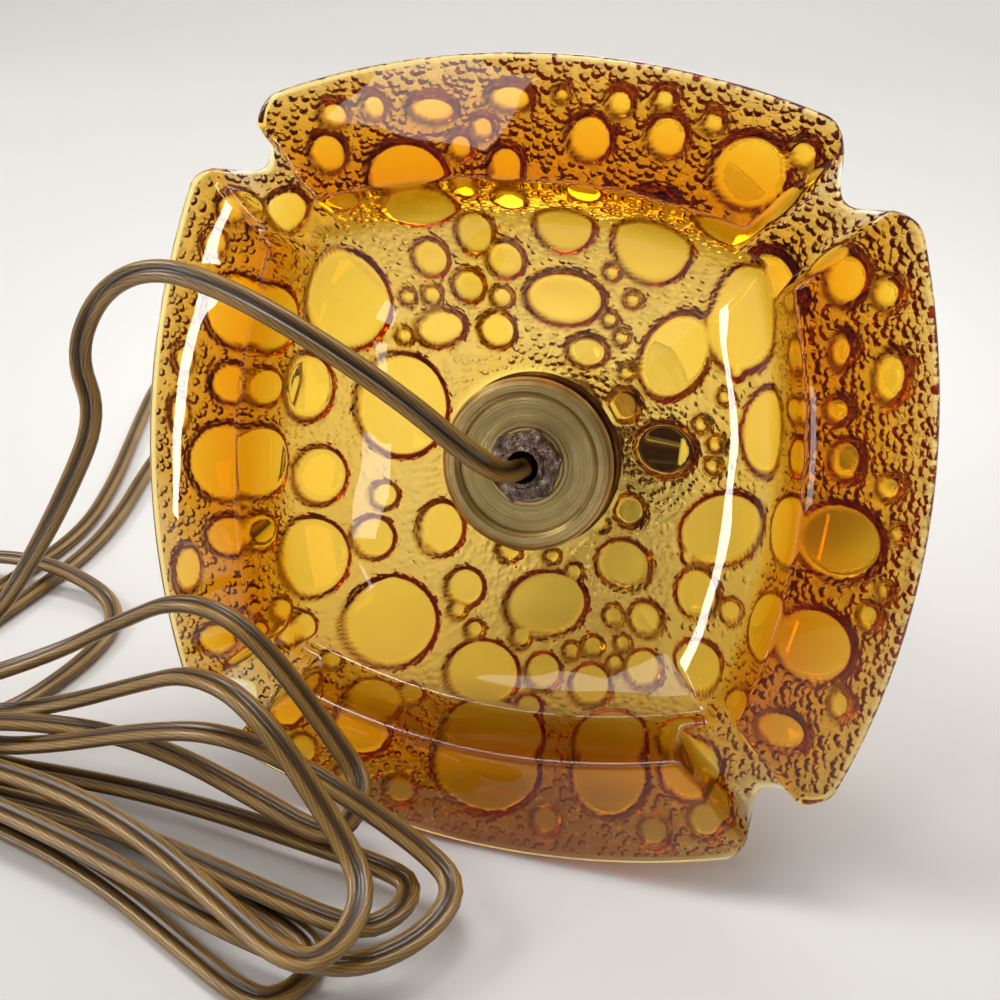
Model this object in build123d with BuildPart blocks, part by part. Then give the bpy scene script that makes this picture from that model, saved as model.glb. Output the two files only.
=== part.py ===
"""Accent lamp with a pressed glass foot, lying on the rim of its foot and on its bulb."""

import math
import os

from build123d import *

os.makedirs("parts", exist_ok=True)

# All sizes are in millimetres. Heights on the lamp run up its axis, from the ridge that it stands on.

# Glass foot, seen from above as four bowed sides with a notch at each corner
rim_half = 87.7
rim_bow = 176.0
rim_edge_low = 3.4
rim_edge_high = 6.4
rim_rounding = 1.8
ridge_outer = 64.0
ridge_inner = 62.3
well_wall_top = 57.0
well_wall_height = 14.0
well_slope_end = 45.0
well_slope_height = 20.0
well_floor_edge = 28.0
well_floor_height = 26.0
seat_half = 24.0
seat_height = 27.0
dome_shoulder = 60.0
dome_shoulder_height = 21.0
dome_bend = 45.0
dome_bend_height = 27.5
glass_over_seat = 6.0
notch_half = 61.7
notch_rounding = 4.5
flap_corner_rounding = 8.0
outlet_width = 13.0
outlet_length = 48.0
outlet_ceiling = 10.0
centre_hole_radius = 5.7
boss_height = 1.6
boss_root = 2.4

# Raised clear bosses on the far face of the foot: place (right, up), half width, half height, turn
bosses = [
    (-48, 35, 10.5, 12.5, 0), (-34, 10, 11.5, 13, 0), (-32, -45, 12.5, 11.5, 0), (-54, -30, 9.5, 10.5, 0),
    (-57, 13, 6.5, 8.5, 0), (-53, -9, 6.5, 7.5, 0), (-29, 62, 9.5, 7.5, 0), (5, 57, 7, 6.5, 0),
    (25, 54, 9, 9, 0), (48, 40, 9.5, 13.5, 10), (56, 15, 6.5, 10, 0), (48, -9, 11, 8, -35),
    (5, 40, 9.5, 6.5, 0), (32, 29, 8, 11, 25), (7, -35, 10.5, 8, -20), (-6, -54, 9.5, 8, 0),
    (25, -22, 7, 6, 0), (47, -42, 6.5, 6.5, 0), (44, -25, 5.5, 6, 0), (-22, -20, 6, 7, 0),
    (32, 7, 7.5, 6.5, 0), (11, 28, 5, 4, 0), (21, 16, 4, 4, 0), (0, -70, 13, 10.5, 0),
    (29, -66, 9, 9.5, 0), (47, -62, 7, 6, 0), (-32, -67, 7.5, 6, 0), (-51, -65, 4.5, 4.5, 0),
    (-60, 53, 4.5, 6.5, 45), (44, 67, 8, 7.5, 0), (-16, 54, 4.5, 5.5, 0), (-27, 47, 4.5, 4.5, 0),
    (-9, 48, 4.5, 4.5, 0), (-18, 41, 4, 4, 0), (-25, 30, 6.5, 4.5, -20), (-11, 31, 4.5, 4.5, 0),
    (-39, -24, 5.5, 5.5, 0), (-37, -13, 3.5, 3.5, 0), (-14, -34, 5, 5, 0), (32, -34, 4.5, 4.5, 0),
    (33, -46, 4.5, 4.5, 0), (9, -51, 4.5, 4.5, 0), (21, -52, 5, 5, 0), (7, -60, 3.5, 3.5, 0),
    (-23, -63, 3.5, 3.5, 0), (-55, -48, 4, 4, 0), (25, -9, 4, 4, 0), (53, -27, 3, 3, 0),
    (-45, 74, 3.5, 3, 0), (-36, 76, 3, 3, 0), (-23, 76, 5.5, 3, 0), (-6, 79, 5, 3, 0),
    (-12, 73, 2.8, 2.8, 0), (-47, 66, 4.5, 4.5, 0), (-17, 69, 3, 3, 0), (-7, 66, 4, 4, 0),
    (11, 72, 5, 5, 0), (27, 73, 4.5, 4.5, 0), (17, 79, 3, 3, 0), (54, 71, 3, 3, 0),
    (65, 48, 4.5, 5.5, 0), (73, 46, 3, 3.5, 0), (76, 30, 3.5, 5.5, 0), (66, 34, 2.5, 4, 0),
    (67, 22, 3, 3, 0), (70, 12, 3.5, 4.5, 0), (79, 8, 2.8, 2.8, 0), (71, -5, 9, 8.5, 0),
    (69, -28, 8.5, 8.5, 0), (65, -48, 6, 4.5, 0), (79, -19, 2.5, 3, 0), (76, -39, 2.5, 3.5, 0),
    (52, -71, 4, 4, 0), (41, -76, 3.5, 3.5, 0), (16, -79, 3.5, 3.5, 0), (-20, -79, 4, 3.5, 0),
    (-33, -78, 3.5, 3, 0), (-46, -74, 4, 4, 0), (-73, 45, 3, 3, 0), (-69, 53, 3.5, 3.5, 0),
    (-80, 18, 2.5, 3.5, 0), (-81, 5, 2.5, 4.5, 0), (-78, -33, 3.5, 6, 0), (-70, -50, 5, 4, 0),
    (-62, -44, 3, 3, 0), (-68, 30, 7.5, 8.5, 0), (-69, 13, 5, 5, 0), (-70, -6, 9, 9.5, 0), (-69, -24, 5, 5, 0),
]

# Hardware under the foot
cushion_thickness = 0.6
cushion_radius = 17.0
check_ring_radius = 20.7
check_ring_plate = 1.3
check_ring_bead_radius = 18.0
check_ring_bead_height = 1.7
nut_across_flats = 15.875
nut_thickness = 3.6
nut_turn = -17.7
nut_chamfer = 0.7
nipple_radius = 5.05
nipple_bore = 3.9
nipple_below_nut = 1.0
nipple_into_cap = 6.0
thread_clearance = 0.08
fit_clearance = 0.25
touch_gap = 0.05

# Brass neck over the foot
vase_cap_radius = 21.6
vase_cap_thickness = 3.7
neck_height = 12.0
neck_end_radius = 9.0
neck_waist_radius = 6.8

# Lamp holder
hub_radius = 8.0
hub_height = 6.0
cap_height = 15.5
cap_radius = 17.2
cap_wall = 0.8
set_screw_radius = 1.5
set_screw_length = 3.6
shell_radius = 16.2
shell_wall = 0.6
shell_length = 52.0
shell_in_cap = 4.5
shell_slot_width = 6.0
liner_wall = 0.7
liner_short_of_lip = 3.0
body_radius = 13.3
body_height = 18.0
body_above_hub = 10.5
rotor_radius = 4.5
rotor_length = 7.0
spindle_radius = 1.6
spindle_height_in_body = 9.0
spindle_clearance = 0.06
knob_start = 19.0
knob_length = 14.0
knob_radius = 4.6
knob_wing = 8.0
knob_wing_thickness = 3.4
terminal_recess = 3.2
terminal_width = 9.0
terminal_height = 5.5
terminal_screw_radius = 1.7
terminal_head_radius = 3.0
terminal_head_thickness = 1.6
screw_shell_bore = 13.4
screw_shell_wall = 0.5
screw_shell_height = 22.0
contact_width = 4.0
contact_thickness = 0.4
contact_rise = 1.6

# Bulb
bulb_radius = 30.0
bulb_length = 104.5
bulb_cap_radius = 13.0
bulb_cap_height = 23.0
bulb_cap_wall = 0.4
bulb_contact_radius = 4.6
bulb_contact_height = 1.0
bulb_insulator_height = 2.6
bulb_glass_wall = 0.9
bulb_neck_radius = 12.4
bulb_stem_radius = 4.0
bulb_stem_top_radius = 2.2
bulb_stem_length = 34.0
filament_wire = 0.5
filament_arch = 9.0

# Leads and cord. The flat twin cord is 5.3 wide and 2.8 thick, and its tube has the same section area.
cord_diameter = 4.2
lead_diameter = 2.0
arc_share = 0.45
lying = 2.3

# The free stretch goes up from the nipple, over in one arch and down to the loose loops
exit_run = 12.5
free_points = [
    (-6.5, -76.5, 90), (-19, -77.5, 101), (-40, -76, 113), (-62, -73, 121.5), (-81, -69.5, 123.5), (-97, -68.5, 115.5),
    (-104, -73, 101), (-98, -77, 88), (-107, -84, 69), (-118, -90, 51), (-126, -94.5, 39), (-132, -98, 33.5),
]

# Loose loops of the cord on the floor, drawn in at a waist. Each loop is a lobe that runs out to a round tip,
# on the right: heading, reach, tip radius, belly of the outgoing and of the returning run, lift of the
# outgoing run, how late the lift comes, tilt and sideways bend of the tip, height at start, tip and end,
# and how late the returning run comes to its end height.
waist_right = -143.0
waist_up = -122.0
waist_half = 4.0
lobe_steps = 6
loops = [
    (3.5, 120, 8, 14, -13, 33, 2.3, 5, 2, 27.2, 18, 23, 2.5),
    (-7, 133, 12, 15, -10, 28, 2.5, 4, -5, 17.4, 19, 17.4, 1),
    (-20, 140, 16, 10, -10, 24, 2.0, 2, 40, 12.3, 11.5, 12.3, 1),
    (-12, 134, 8.5, 9, -10, 1, 1.8, 0, 22, 7.4, 7.4, 7.4, 1),
    (-16, 123, 9, 7, -8, 0, 1.1, 0, 9, 2.3, 2.3, 2.3, 1),
]
# The turns between them, on the left, drawn in a little more from one to the next
turn_heading = 172.0
turn_reach = 34.0
turn_step = 2.0
turn_radius = 11.0
turn_steps = 3
entry_run = 8.5
entry_points = [(-144.5, -105.5, 27.8), (-146, -112.5, 27.5), (-140.5, -118, 27.5), (-131.5, -116.5, 28.4)]

# From the loops round behind the foot, back to a small fold and on to the plug
tail_run = 15.0
tail_points = [
    (-152, -131, lying), (-166, -137, lying), (-179, -135, lying), (-188, -124, lying), (-189, -109, lying),
    (-186, -90, lying), (-181, -67, lying), (-174, -42, lying), (-169, -12, lying), (-178, 20, lying),
    (-190, 50, lying), (-201, 78, lying), (-209, 100, lying), (-210, 119, lying), (-201, 133, lying),
    (-186, 136, lying), (-174, 126, lying), (-171, 108, lying), (-174, 82, lying), (-176, 55, lying),
    (-171, 30, lying), (-163, 2, lying), (-160, -24, lying), (-164, -50, lying), (-168, -72, lying),
    (-168, -88, lying), (-160, -101, lying), (-146, -104, lying), (-135, -95, lying), (-130, -81, lying),
    (-127.5, -66, lying), (-129, -53, 2.4), (-137, -44, 3.4), (-149, -40.5, 6.4), (-161, -39.5, 8.8),
    (-174, -39, 8.8), (-187, -40, 7.6), (-199, -45, 6.6), (-207, -54, 6.4), (-207, -65, 6.4),
]

# Plug at the cord's end, lying flat with its blades beside each other
plug_length = 24.0
plug_width = 24.0
plug_height = 12.8
plug_waist_width = 18.0
plug_rounding = 2.5
plug_relief_length = 20.0
plug_relief_radius = 4.2
blade_length = 17.0
blade_width = 6.35
blade_thickness = 1.5
blade_spacing = 12.7

# Heights worked out from the sizes above
glass_top = seat_height + glass_over_seat
cushion_low = seat_height - cushion_thickness
ring_face = cushion_low - check_ring_plate
nut_face = ring_face - nut_thickness
nipple_low = nut_face - nipple_below_nut
vase_cap_low = glass_top + cushion_thickness
neck_low = vase_cap_low + vase_cap_thickness
cap_low = neck_low + neck_height
nipple_high = cap_low + nipple_into_cap
cap_high = cap_low + cap_height
shell_low = cap_high - shell_in_cap
shell_high = shell_low + shell_length
body_low = cap_low + hub_height + body_above_hub
body_high = body_low + body_height
spindle_height = body_low + spindle_height_in_body
screw_shell_high = body_high + screw_shell_height
contact_high = body_high + contact_rise + contact_thickness
bulb_tip = contact_high + touch_gap
bulb_cap_low = bulb_tip + bulb_contact_height + bulb_insulator_height
bulb_cap_high = bulb_cap_low + bulb_cap_height
bulb_centre = bulb_tip + bulb_length - bulb_radius

# Resting pose: the rim's rounded edge and the bulb's ball both touch the floor
underside_slope = rim_edge_low / (rim_half - ridge_outer)
flank_slope = (dome_shoulder_height - rim_edge_high) / (rim_half - dome_shoulder)
edge_reach = rim_half - rim_rounding
edge_low = underside_slope * (edge_reach - ridge_outer) + rim_rounding * math.hypot(1, underside_slope)
edge_high = rim_edge_high + flank_slope * rim_rounding - rim_rounding * math.hypot(1, flank_slope)
edge_to_bulb = bulb_centre - edge_high
lean = math.acos((bulb_radius - rim_rounding) / math.hypot(edge_reach, edge_to_bulb)) - math.atan(
    edge_to_bulb / edge_reach
)
lean_sin = math.sin(lean)
lean_cos = math.cos(lean)
lamp_height = bulb_radius + bulb_centre * lean_sin
front_reach = -edge_reach * lean_sin + edge_low * lean_cos - rim_rounding
back_reach = bulb_centre * lean_cos + bulb_radius
lamp_depth = -(front_reach + back_reach) / 2

lamp = Plane(origin=(0, lamp_depth, lamp_height), x_dir=(1, 0, 0), z_dir=(0, lean_cos, -lean_sin))
lamp_axis = Axis(lamp.origin, lamp.z_dir)
half_section = Plane(origin=lamp.origin, x_dir=lamp.x_dir, z_dir=-lamp.y_dir)


def on_lamp(right, up, height):
    """Give the place of a point that is right and up on the foot's face and high on the axis."""
    return lamp.from_local_coords(Vector(right, -up, height))


def turned(outline, mode=Mode.ADD):
    """Spin a closed outline of (radius, height) points about the lamp's axis."""
    with BuildSketch(half_section) as outline_face:
        with BuildLine():
            Polyline(*outline, close=True)
        make_face()
    revolve(outline_face.sketch, axis=lamp_axis, mode=mode)


def side_section(turn):
    """Give the upright plane through one side of the foot, with its origin at that side's bow centre."""
    out = lamp.x_dir.rotate(lamp_axis, turn)
    return Plane(origin=lamp.origin - out * (rim_bow - rim_half), x_dir=out, z_dir=out.cross(lamp.z_dir))


def bowed_side(outline, turn, mode, rounded=None):
    """Spin an outline of (distance from the axis, height) points about the bow centre of one side.

    Distances are rounded, so that a point on the line it turns about lies exactly there.
    """
    bow_offset = rim_bow - rim_half
    decimals = 6
    plane = side_section(turn)
    with BuildSketch(plane) as side_face:
        with BuildLine():
            Polyline(*[(round(reach + bow_offset, decimals), height) for reach, height in outline], close=True)
        make_face()
        if rounded:
            rim_corners = side_face.vertices().sort_by(Axis(plane.origin, plane.x_dir))[-2:]
            fillet(rim_corners, rounded)
    revolve(side_face.sketch, axis=Axis(plane.origin, lamp.z_dir), mode=mode)


def outward(right, up):
    """Give how far out a place on the foot lies, measured square to the nearest bowed side."""
    bow_offset = rim_bow - rim_half
    across = math.hypot(right, abs(up) + bow_offset) - bow_offset
    along = math.hypot(up, abs(right) + bow_offset) - bow_offset
    return max(across, along)


dome = [
    (seat_half, glass_top),
    (dome_bend, dome_bend_height),
    (dome_shoulder, dome_shoulder_height),
    (rim_half, rim_edge_high),
]


def dome_height(right, up):
    """Give the height of the foot's far face at a place."""
    reach = outward(right, up)
    if reach <= seat_half:
        return glass_top
    for (near, near_height), (far, far_height) in zip(dome, dome[1:]):
        if reach <= far:
            return near_height + (far_height - near_height) * (reach - near) / (far - near)
    return rim_edge_high


def boss_plane(right, up):
    """Give the plane that lies on the foot's far face at a place."""
    step = 0.5
    fall_right = (dome_height(right + step, up) - dome_height(right - step, up)) / (2 * step)
    fall_up = (dome_height(right, up + step) - dome_height(right, up - step)) / (2 * step)
    normal = lamp.z_dir - lamp.x_dir * fall_right + lamp.y_dir * fall_up
    foot = on_lamp(right, up, dome_height(right, up)) - normal.normalized() * boss_root
    return Plane(origin=foot, x_dir=lamp.x_dir, z_dir=normal)


def in_notch(vertex, least, most):
    """Tell whether a corner of the plan lies on a notch, between two distances from its diagonal."""
    place = lamp.to_local_coords(Vector(vertex))
    return least <= abs(abs(place.X) - abs(place.Y)) <= most


# Glass foot
bow_start = rim_half - rim_bow
foot_outline = [
    (bow_start, 0),
    (ridge_outer, 0),
    (rim_half, rim_edge_low),
    (rim_half, rim_edge_high),
    (dome_shoulder, dome_shoulder_height),
    (dome_bend, dome_bend_height),
    (seat_half, glass_top),
    (bow_start, glass_top),
]
wall_run = (ridge_inner - well_wall_top) / well_wall_height
below_ridge = 3.0
well_outline = [
    (bow_start, -below_ridge),
    (ridge_inner + wall_run * below_ridge, -below_ridge),
    (well_wall_top, well_wall_height),
    (well_slope_end, well_slope_height),
    (well_floor_edge, well_floor_height),
    (seat_half, seat_height),
    (bow_start, seat_height),
]
with BuildPart() as well:
    for quarter in range(4):
        bowed_side(well_outline, 90 * quarter, Mode.ADD if quarter == 0 else Mode.INTERSECT)

with BuildPart() as glass_foot:
    for quarter in range(4):
        bowed_side(foot_outline, 90 * quarter, Mode.ADD if quarter == 0 else Mode.INTERSECT, rim_rounding)
    plan_margin = 0.5
    with BuildSketch(lamp) as plan:
        for quarter in range(4):
            with Locations(Rotation(0, 0, 90 * quarter) * Location((rim_half - rim_bow, 0))):
                Circle(rim_bow + plan_margin, mode=Mode.ADD if quarter == 0 else Mode.INTERSECT)
        for right in (-1, 1):
            for up in (-1, 1):
                with Locations((right * (notch_half + rim_half / 2), up * (notch_half + rim_half / 2))):
                    Rectangle(rim_half, rim_half, mode=Mode.SUBTRACT)
        notch_vertices = plan.vertices().filter_by(lambda v: in_notch(v, 0.0, 1.0))
        flap_corners = plan.vertices().filter_by(lambda v: in_notch(v, 5.0, rim_half))
        fillet(notch_vertices, notch_rounding)
        fillet(flap_corners, flap_corner_rounding)
    extrude(amount=glass_top, mode=Mode.INTERSECT)
    add(well.part, mode=Mode.SUBTRACT)
    with BuildSketch(lamp):
        for quarter in range(4):
            with Locations(Rotation(0, 0, 45 + 90 * quarter) * Location((notch_half * math.sqrt(2), 0))):
                Rectangle(outlet_length, outlet_width)
    extrude(amount=outlet_ceiling, mode=Mode.SUBTRACT)
    with BuildSketch(lamp):
        Circle(centre_hole_radius)
    extrude(amount=glass_top, mode=Mode.SUBTRACT)
    for right, up, half_width, half_height, turn in bosses:
        with BuildSketch(boss_plane(right, up)):
            Ellipse(half_width, half_height, rotation=-turn)
    extrude(amount=boss_root + boss_height)
glass_foot.part.label = "glass_foot"
export_step(glass_foot.part, "parts/glass_foot.step")

# Cushion washers on both faces of the glass
with BuildPart() as lower_cushion_washer:
    turned([(centre_hole_radius, cushion_low), (cushion_radius, cushion_low),
            (cushion_radius, seat_height), (centre_hole_radius, seat_height)])
lower_cushion_washer.part.label = "lower_cushion_washer"
export_step(lower_cushion_washer.part, "parts/lower_cushion_washer.step")

with BuildPart() as upper_cushion_washer:
    turned([(centre_hole_radius, glass_top), (cushion_radius, glass_top),
            (cushion_radius, vase_cap_low), (centre_hole_radius, vase_cap_low)])
upper_cushion_washer.part.label = "upper_cushion_washer"
export_step(upper_cushion_washer.part, "parts/upper_cushion_washer.step")

# Brass check ring under the foot, a plate with a rolled bead near its edge
ring_bore = nipple_radius + fit_clearance
bead_face = ring_face - check_ring_bead_height
with BuildPart() as lower_check_ring:
    turned([
        (ring_bore, cushion_low),
        (check_ring_radius - 0.9, cushion_low),
        (check_ring_radius, cushion_low - 0.8),
        (check_ring_radius, bead_face + 1.1),
        (check_ring_radius - 0.8, bead_face + 0.5),
        (check_ring_bead_radius + 0.9, bead_face),
        (check_ring_bead_radius - 0.5, bead_face),
        (check_ring_bead_radius - 1.4, bead_face + 0.8),
        (check_ring_bead_radius - 1.9, ring_face),
        (ring_bore, ring_face),
    ])
lower_check_ring.part.label = "lower_check_ring"
export_step(lower_check_ring.part, "parts/lower_check_ring.step")

# Hexagonal locknut, its corners turned off on the outer face
nut_corner = nut_across_flats / math.sqrt(3)
with BuildPart() as hex_locknut:
    with BuildSketch(lamp.offset(nut_face)):
        RegularPolygon(nut_across_flats / 2, 6, major_radius=False, rotation=nut_turn)
        Circle(nipple_radius + thread_clearance, mode=Mode.SUBTRACT)
    extrude(amount=nut_thickness)
    turned([(0, nut_face), (nut_corner - 2 * nut_chamfer, nut_face), (nut_corner + 0.1, nut_face + nut_chamfer),
            (nut_corner + 0.1, ring_face), (0, ring_face)], mode=Mode.INTERSECT)
hex_locknut.part.label = "hex_locknut"
export_step(hex_locknut.part, "parts/hex_locknut.step")

# Threaded nipple that runs from the locknut up into the lamp holder's cap
with BuildPart() as threaded_nipple:
    turned([(nipple_bore, nipple_low), (nipple_radius - 0.5, nipple_low), (nipple_radius, nipple_low + 0.5),
            (nipple_radius, nipple_high - 0.5), (nipple_radius - 0.5, nipple_high), (nipple_bore, nipple_high)])
threaded_nipple.part.label = "threaded_nipple"
export_step(threaded_nipple.part, "parts/threaded_nipple.step")

# Brass cap and neck over the foot
with BuildPart() as vase_cap:
    turned([
        (ring_bore, vase_cap_low),
        (vase_cap_radius - 0.7, vase_cap_low),
        (vase_cap_radius, vase_cap_low + 0.6),
        (vase_cap_radius - 0.2, vase_cap_low + 1.4),
        (vase_cap_radius - 4.6, vase_cap_low + 2.1),
        (vase_cap_radius - 9.1, vase_cap_low + 3.0),
        (neck_end_radius + 0.6, neck_low),
        (ring_bore, neck_low),
    ])
vase_cap.part.label = "vase_cap"
export_step(vase_cap.part, "parts/vase_cap.step")

neck_lip = 1.3
neck_middle = neck_low + neck_height / 2
with BuildPart() as neck_spindle:
    turned([
        (ring_bore, neck_low),
        (neck_end_radius, neck_low),
        (neck_end_radius, neck_low + neck_lip),
        (neck_waist_radius + 0.6, neck_low + 2 * neck_lip),
        (neck_waist_radius, neck_middle),
        (neck_waist_radius + 0.6, cap_low - 2 * neck_lip),
        (neck_end_radius, cap_low - neck_lip),
        (neck_end_radius, cap_low),
        (ring_bore, cap_low),
    ])
neck_spindle.part.label = "neck_spindle"
export_step(neck_spindle.part, "parts/neck_spindle.step")

# Cap of the lamp holder, threaded on the nipple and locked by a set screw
cap_bore = nipple_radius + thread_clearance
cap_shoulder = shell_low - fit_clearance - cap_wall
hub_top = cap_low + hub_height
screw_height = cap_low + hub_height / 2
across_section = Plane(origin=lamp.from_local_coords(Vector(0, 0, screw_height)), x_dir=lamp.y_dir,
                       z_dir=-lamp.x_dir)
with BuildPart() as socket_cap:
    turned([
        (cap_bore, cap_low),
        (hub_radius, cap_low),
        (hub_radius, hub_top - cap_wall),
        (cap_radius, cap_shoulder),
        (cap_radius, cap_high),
        (cap_radius - cap_wall, cap_high),
        (cap_radius - cap_wall, cap_shoulder + cap_wall),
        (hub_radius - cap_wall, hub_top),
        (cap_bore, hub_top),
    ])
    with BuildSketch(across_section):
        Circle(set_screw_radius + thread_clearance)
    extrude(amount=cap_radius, mode=Mode.SUBTRACT)
socket_cap.part.label = "socket_cap"
export_step(socket_cap.part, "parts/socket_cap.step")

with BuildPart() as cap_set_screw:
    with BuildSketch(across_section.offset(nipple_radius + touch_gap)):
        Circle(set_screw_radius)
    extrude(amount=set_screw_length)
    with BuildSketch(across_section.offset(nipple_radius + touch_gap + set_screw_length)):
        Rectangle(2 * set_screw_radius, set_screw_radius / 2)
    extrude(amount=-set_screw_radius / 2, mode=Mode.SUBTRACT)
cap_set_screw.part.label = "cap_set_screw"
export_step(cap_set_screw.part, "parts/cap_set_screw.step")

# Brass shell and its fibre liner, both slotted from below for the switch spindle
slot_top = spindle_height + shell_slot_width / 2
spindle_section = Plane(origin=lamp.from_local_coords(Vector(0, 0, spindle_height)), x_dir=lamp.y_dir,
                        z_dir=lamp.x_dir)


def cut_spindle_slot():
    """Cut the slot of the switch spindle, rounded at its closed end, through the wall on the right."""
    slot_length = spindle_height - shell_low + 1
    with BuildSketch(spindle_section) as slot:
        Circle(shell_slot_width / 2)
        with Locations((0, slot_length / 2)):
            Rectangle(shell_slot_width, slot_length)
    extrude(slot.sketch, amount=cap_radius, mode=Mode.SUBTRACT)


with BuildPart() as socket_shell:
    shell_bore = shell_radius - shell_wall
    turned([(shell_bore, shell_low), (shell_radius, shell_low), (shell_radius, shell_high), (shell_bore, shell_high)])
    cut_spindle_slot()
socket_shell.part.label = "socket_shell"
export_step(socket_shell.part, "parts/socket_shell.step")

liner_radius = shell_radius - shell_wall - touch_gap
liner_bore = liner_radius - liner_wall
with BuildPart() as fibre_liner:
    turned([(liner_bore, shell_low), (liner_radius, shell_low),
            (liner_radius, shell_high - liner_short_of_lip), (liner_bore, shell_high - liner_short_of_lip)])
    cut_spindle_slot()
fibre_liner.part.label = "fibre_liner"
export_step(fibre_liner.part, "parts/fibre_liner.step")

# Insulating body with a flange, a pocket for the switch rotor and a recess for each terminal
flange_thickness = 2.0
rotor_pocket_radius = rotor_radius + spindle_clearance
terminal_face = body_radius - terminal_recess
terminal_place = body_low + terminal_height
with BuildPart() as socket_body:
    turned([(0, body_low), (body_radius, body_low), (body_radius, body_high - flange_thickness),
            (liner_bore - touch_gap, body_high - flange_thickness), (liner_bore - touch_gap, body_high),
            (0, body_high)])
    pocket_depth = spindle_height - body_low + 1
    with BuildSketch(spindle_section.offset(-rotor_length / 2 - spindle_clearance)) as rotor_pocket:
        Circle(rotor_pocket_radius)
        with Locations((0, pocket_depth / 2)):
            Rectangle(2 * rotor_pocket_radius, pocket_depth)
    extrude(rotor_pocket.sketch, amount=rotor_length + 2 * spindle_clearance, mode=Mode.SUBTRACT)
    with BuildSketch(spindle_section) as spindle_slot:
        Circle(spindle_radius + spindle_clearance)
        with Locations((0, pocket_depth / 2)):
            Rectangle(2 * (spindle_radius + spindle_clearance), pocket_depth)
    extrude(spindle_slot.sketch, amount=cap_radius, mode=Mode.SUBTRACT)
    for side in (-1, 1):
        side_plane = Plane(origin=lamp.from_local_coords(Vector(0, side * terminal_face, terminal_place)),
                           x_dir=lamp.x_dir, z_dir=lamp.y_dir * side)
        with BuildSketch(side_plane) as recess:
            Rectangle(terminal_width, 2 * terminal_height + 2)
        extrude(recess.sketch, amount=2 * terminal_recess, mode=Mode.SUBTRACT)
        with BuildSketch(side_plane) as screw_hole:
            Circle(terminal_screw_radius + thread_clearance)
        extrude(screw_hole.sketch, amount=-terminal_face / 2, mode=Mode.SUBTRACT)
socket_body.part.label = "socket_body"
export_step(socket_body.part, "parts/socket_body.step")

with BuildPart() as terminal_screws:
    for side in (-1, 1):
        side_plane = Plane(origin=lamp.from_local_coords(Vector(0, side * terminal_face, terminal_place)),
                           x_dir=lamp.x_dir, z_dir=lamp.y_dir * side)
        with BuildSketch(side_plane):
            Circle(terminal_head_radius)
        extrude(amount=terminal_head_thickness)
        with BuildSketch(side_plane):
            Circle(terminal_screw_radius)
        extrude(amount=-terminal_face / 2 + touch_gap)
        with BuildSketch(side_plane.offset(terminal_head_thickness)):
            Rectangle(2 * terminal_head_radius, terminal_head_thickness / 2)
        extrude(amount=-terminal_head_thickness / 2, mode=Mode.SUBTRACT)
terminal_screws.part.label = "terminal_screws"
export_step(terminal_screws.part, "parts/terminal_screws.step")

# Turn switch: rotor in the body, spindle through the slot, winged knob outside
with BuildPart() as switch_rotor:
    with BuildSketch(spindle_section.offset(-rotor_length / 2)):
        RegularPolygon(rotor_radius, 8, major_radius=True)
    extrude(amount=rotor_length)
switch_rotor.part.label = "switch_rotor"
export_step(switch_rotor.part, "parts/switch_rotor.step")

spindle_end = knob_start + knob_length / 2
with BuildPart() as switch_spindle:
    with BuildSketch(spindle_section.offset(rotor_length / 2)):
        Circle(spindle_radius)
    extrude(amount=spindle_end - rotor_length / 2)
switch_spindle.part.label = "switch_spindle"
export_step(switch_spindle.part, "parts/switch_spindle.step")

with BuildPart() as switch_knob:
    with BuildSketch(spindle_section.offset(knob_start)):
        Circle(knob_radius)
    extrude(amount=knob_length, taper=4)
    with BuildSketch(spindle_section.offset(knob_start + knob_length / 4)):
        SlotOverall(2 * knob_wing, knob_wing_thickness)
    extrude(amount=3 * knob_length / 4)
    with BuildSketch(spindle_section.offset(knob_start)):
        Circle(spindle_radius)
    extrude(amount=knob_length / 2, mode=Mode.SUBTRACT)
switch_knob.part.label = "switch_knob"
export_step(switch_knob.part, "parts/switch_knob.step")

# Screw shell and centre contact that take the bulb
screw_shell_radius = screw_shell_bore + screw_shell_wall
with BuildPart() as screw_shell:
    turned([
        (contact_width + 1.5, body_high),
        (screw_shell_radius, body_high),
        (screw_shell_radius, screw_shell_high),
        (screw_shell_bore, screw_shell_high),
        (screw_shell_bore, body_high + screw_shell_wall),
        (contact_width + 1.5, body_high + screw_shell_wall),
    ])
screw_shell.part.label = "screw_shell"
export_step(screw_shell.part, "parts/screw_shell.step")

with BuildPart() as centre_contact:
    foot_start = contact_width + 0.5
    with BuildSketch(half_section):
        with BuildLine():
            Polyline(
                (-foot_start, body_high),
                (-foot_start + 1.3, body_high),
                (-foot_start + 3.0, contact_high - contact_thickness),
                (foot_start - 3.0, contact_high - contact_thickness),
                (foot_start - 1.3, body_high),
                (foot_start, body_high),
                (foot_start, body_high + contact_thickness),
                (foot_start - 1.1, body_high + contact_thickness),
                (foot_start - 2.8, contact_high),
                (-foot_start + 2.8, contact_high),
                (-foot_start + 1.1, body_high + contact_thickness),
                (-foot_start, body_high + contact_thickness),
                close=True,
            )
        make_face()
    extrude(amount=contact_width / 2, both=True)
centre_contact.part.label = "centre_contact"
export_step(centre_contact.part, "parts/centre_contact.step")

# Bulb: contact, insulator, screw cap, glass, stem and filament
contact_top = bulb_tip + bulb_contact_height
insulator_top = bulb_cap_low - touch_gap
with BuildPart() as bulb_contact:
    turned([(0, bulb_tip), (bulb_contact_radius - 1.2, bulb_tip), (bulb_contact_radius, bulb_tip + 0.6),
            (bulb_contact_radius, contact_top), (0, contact_top)])
bulb_contact.part.label = "bulb_contact"
export_step(bulb_contact.part, "parts/bulb_contact.step")

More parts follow.
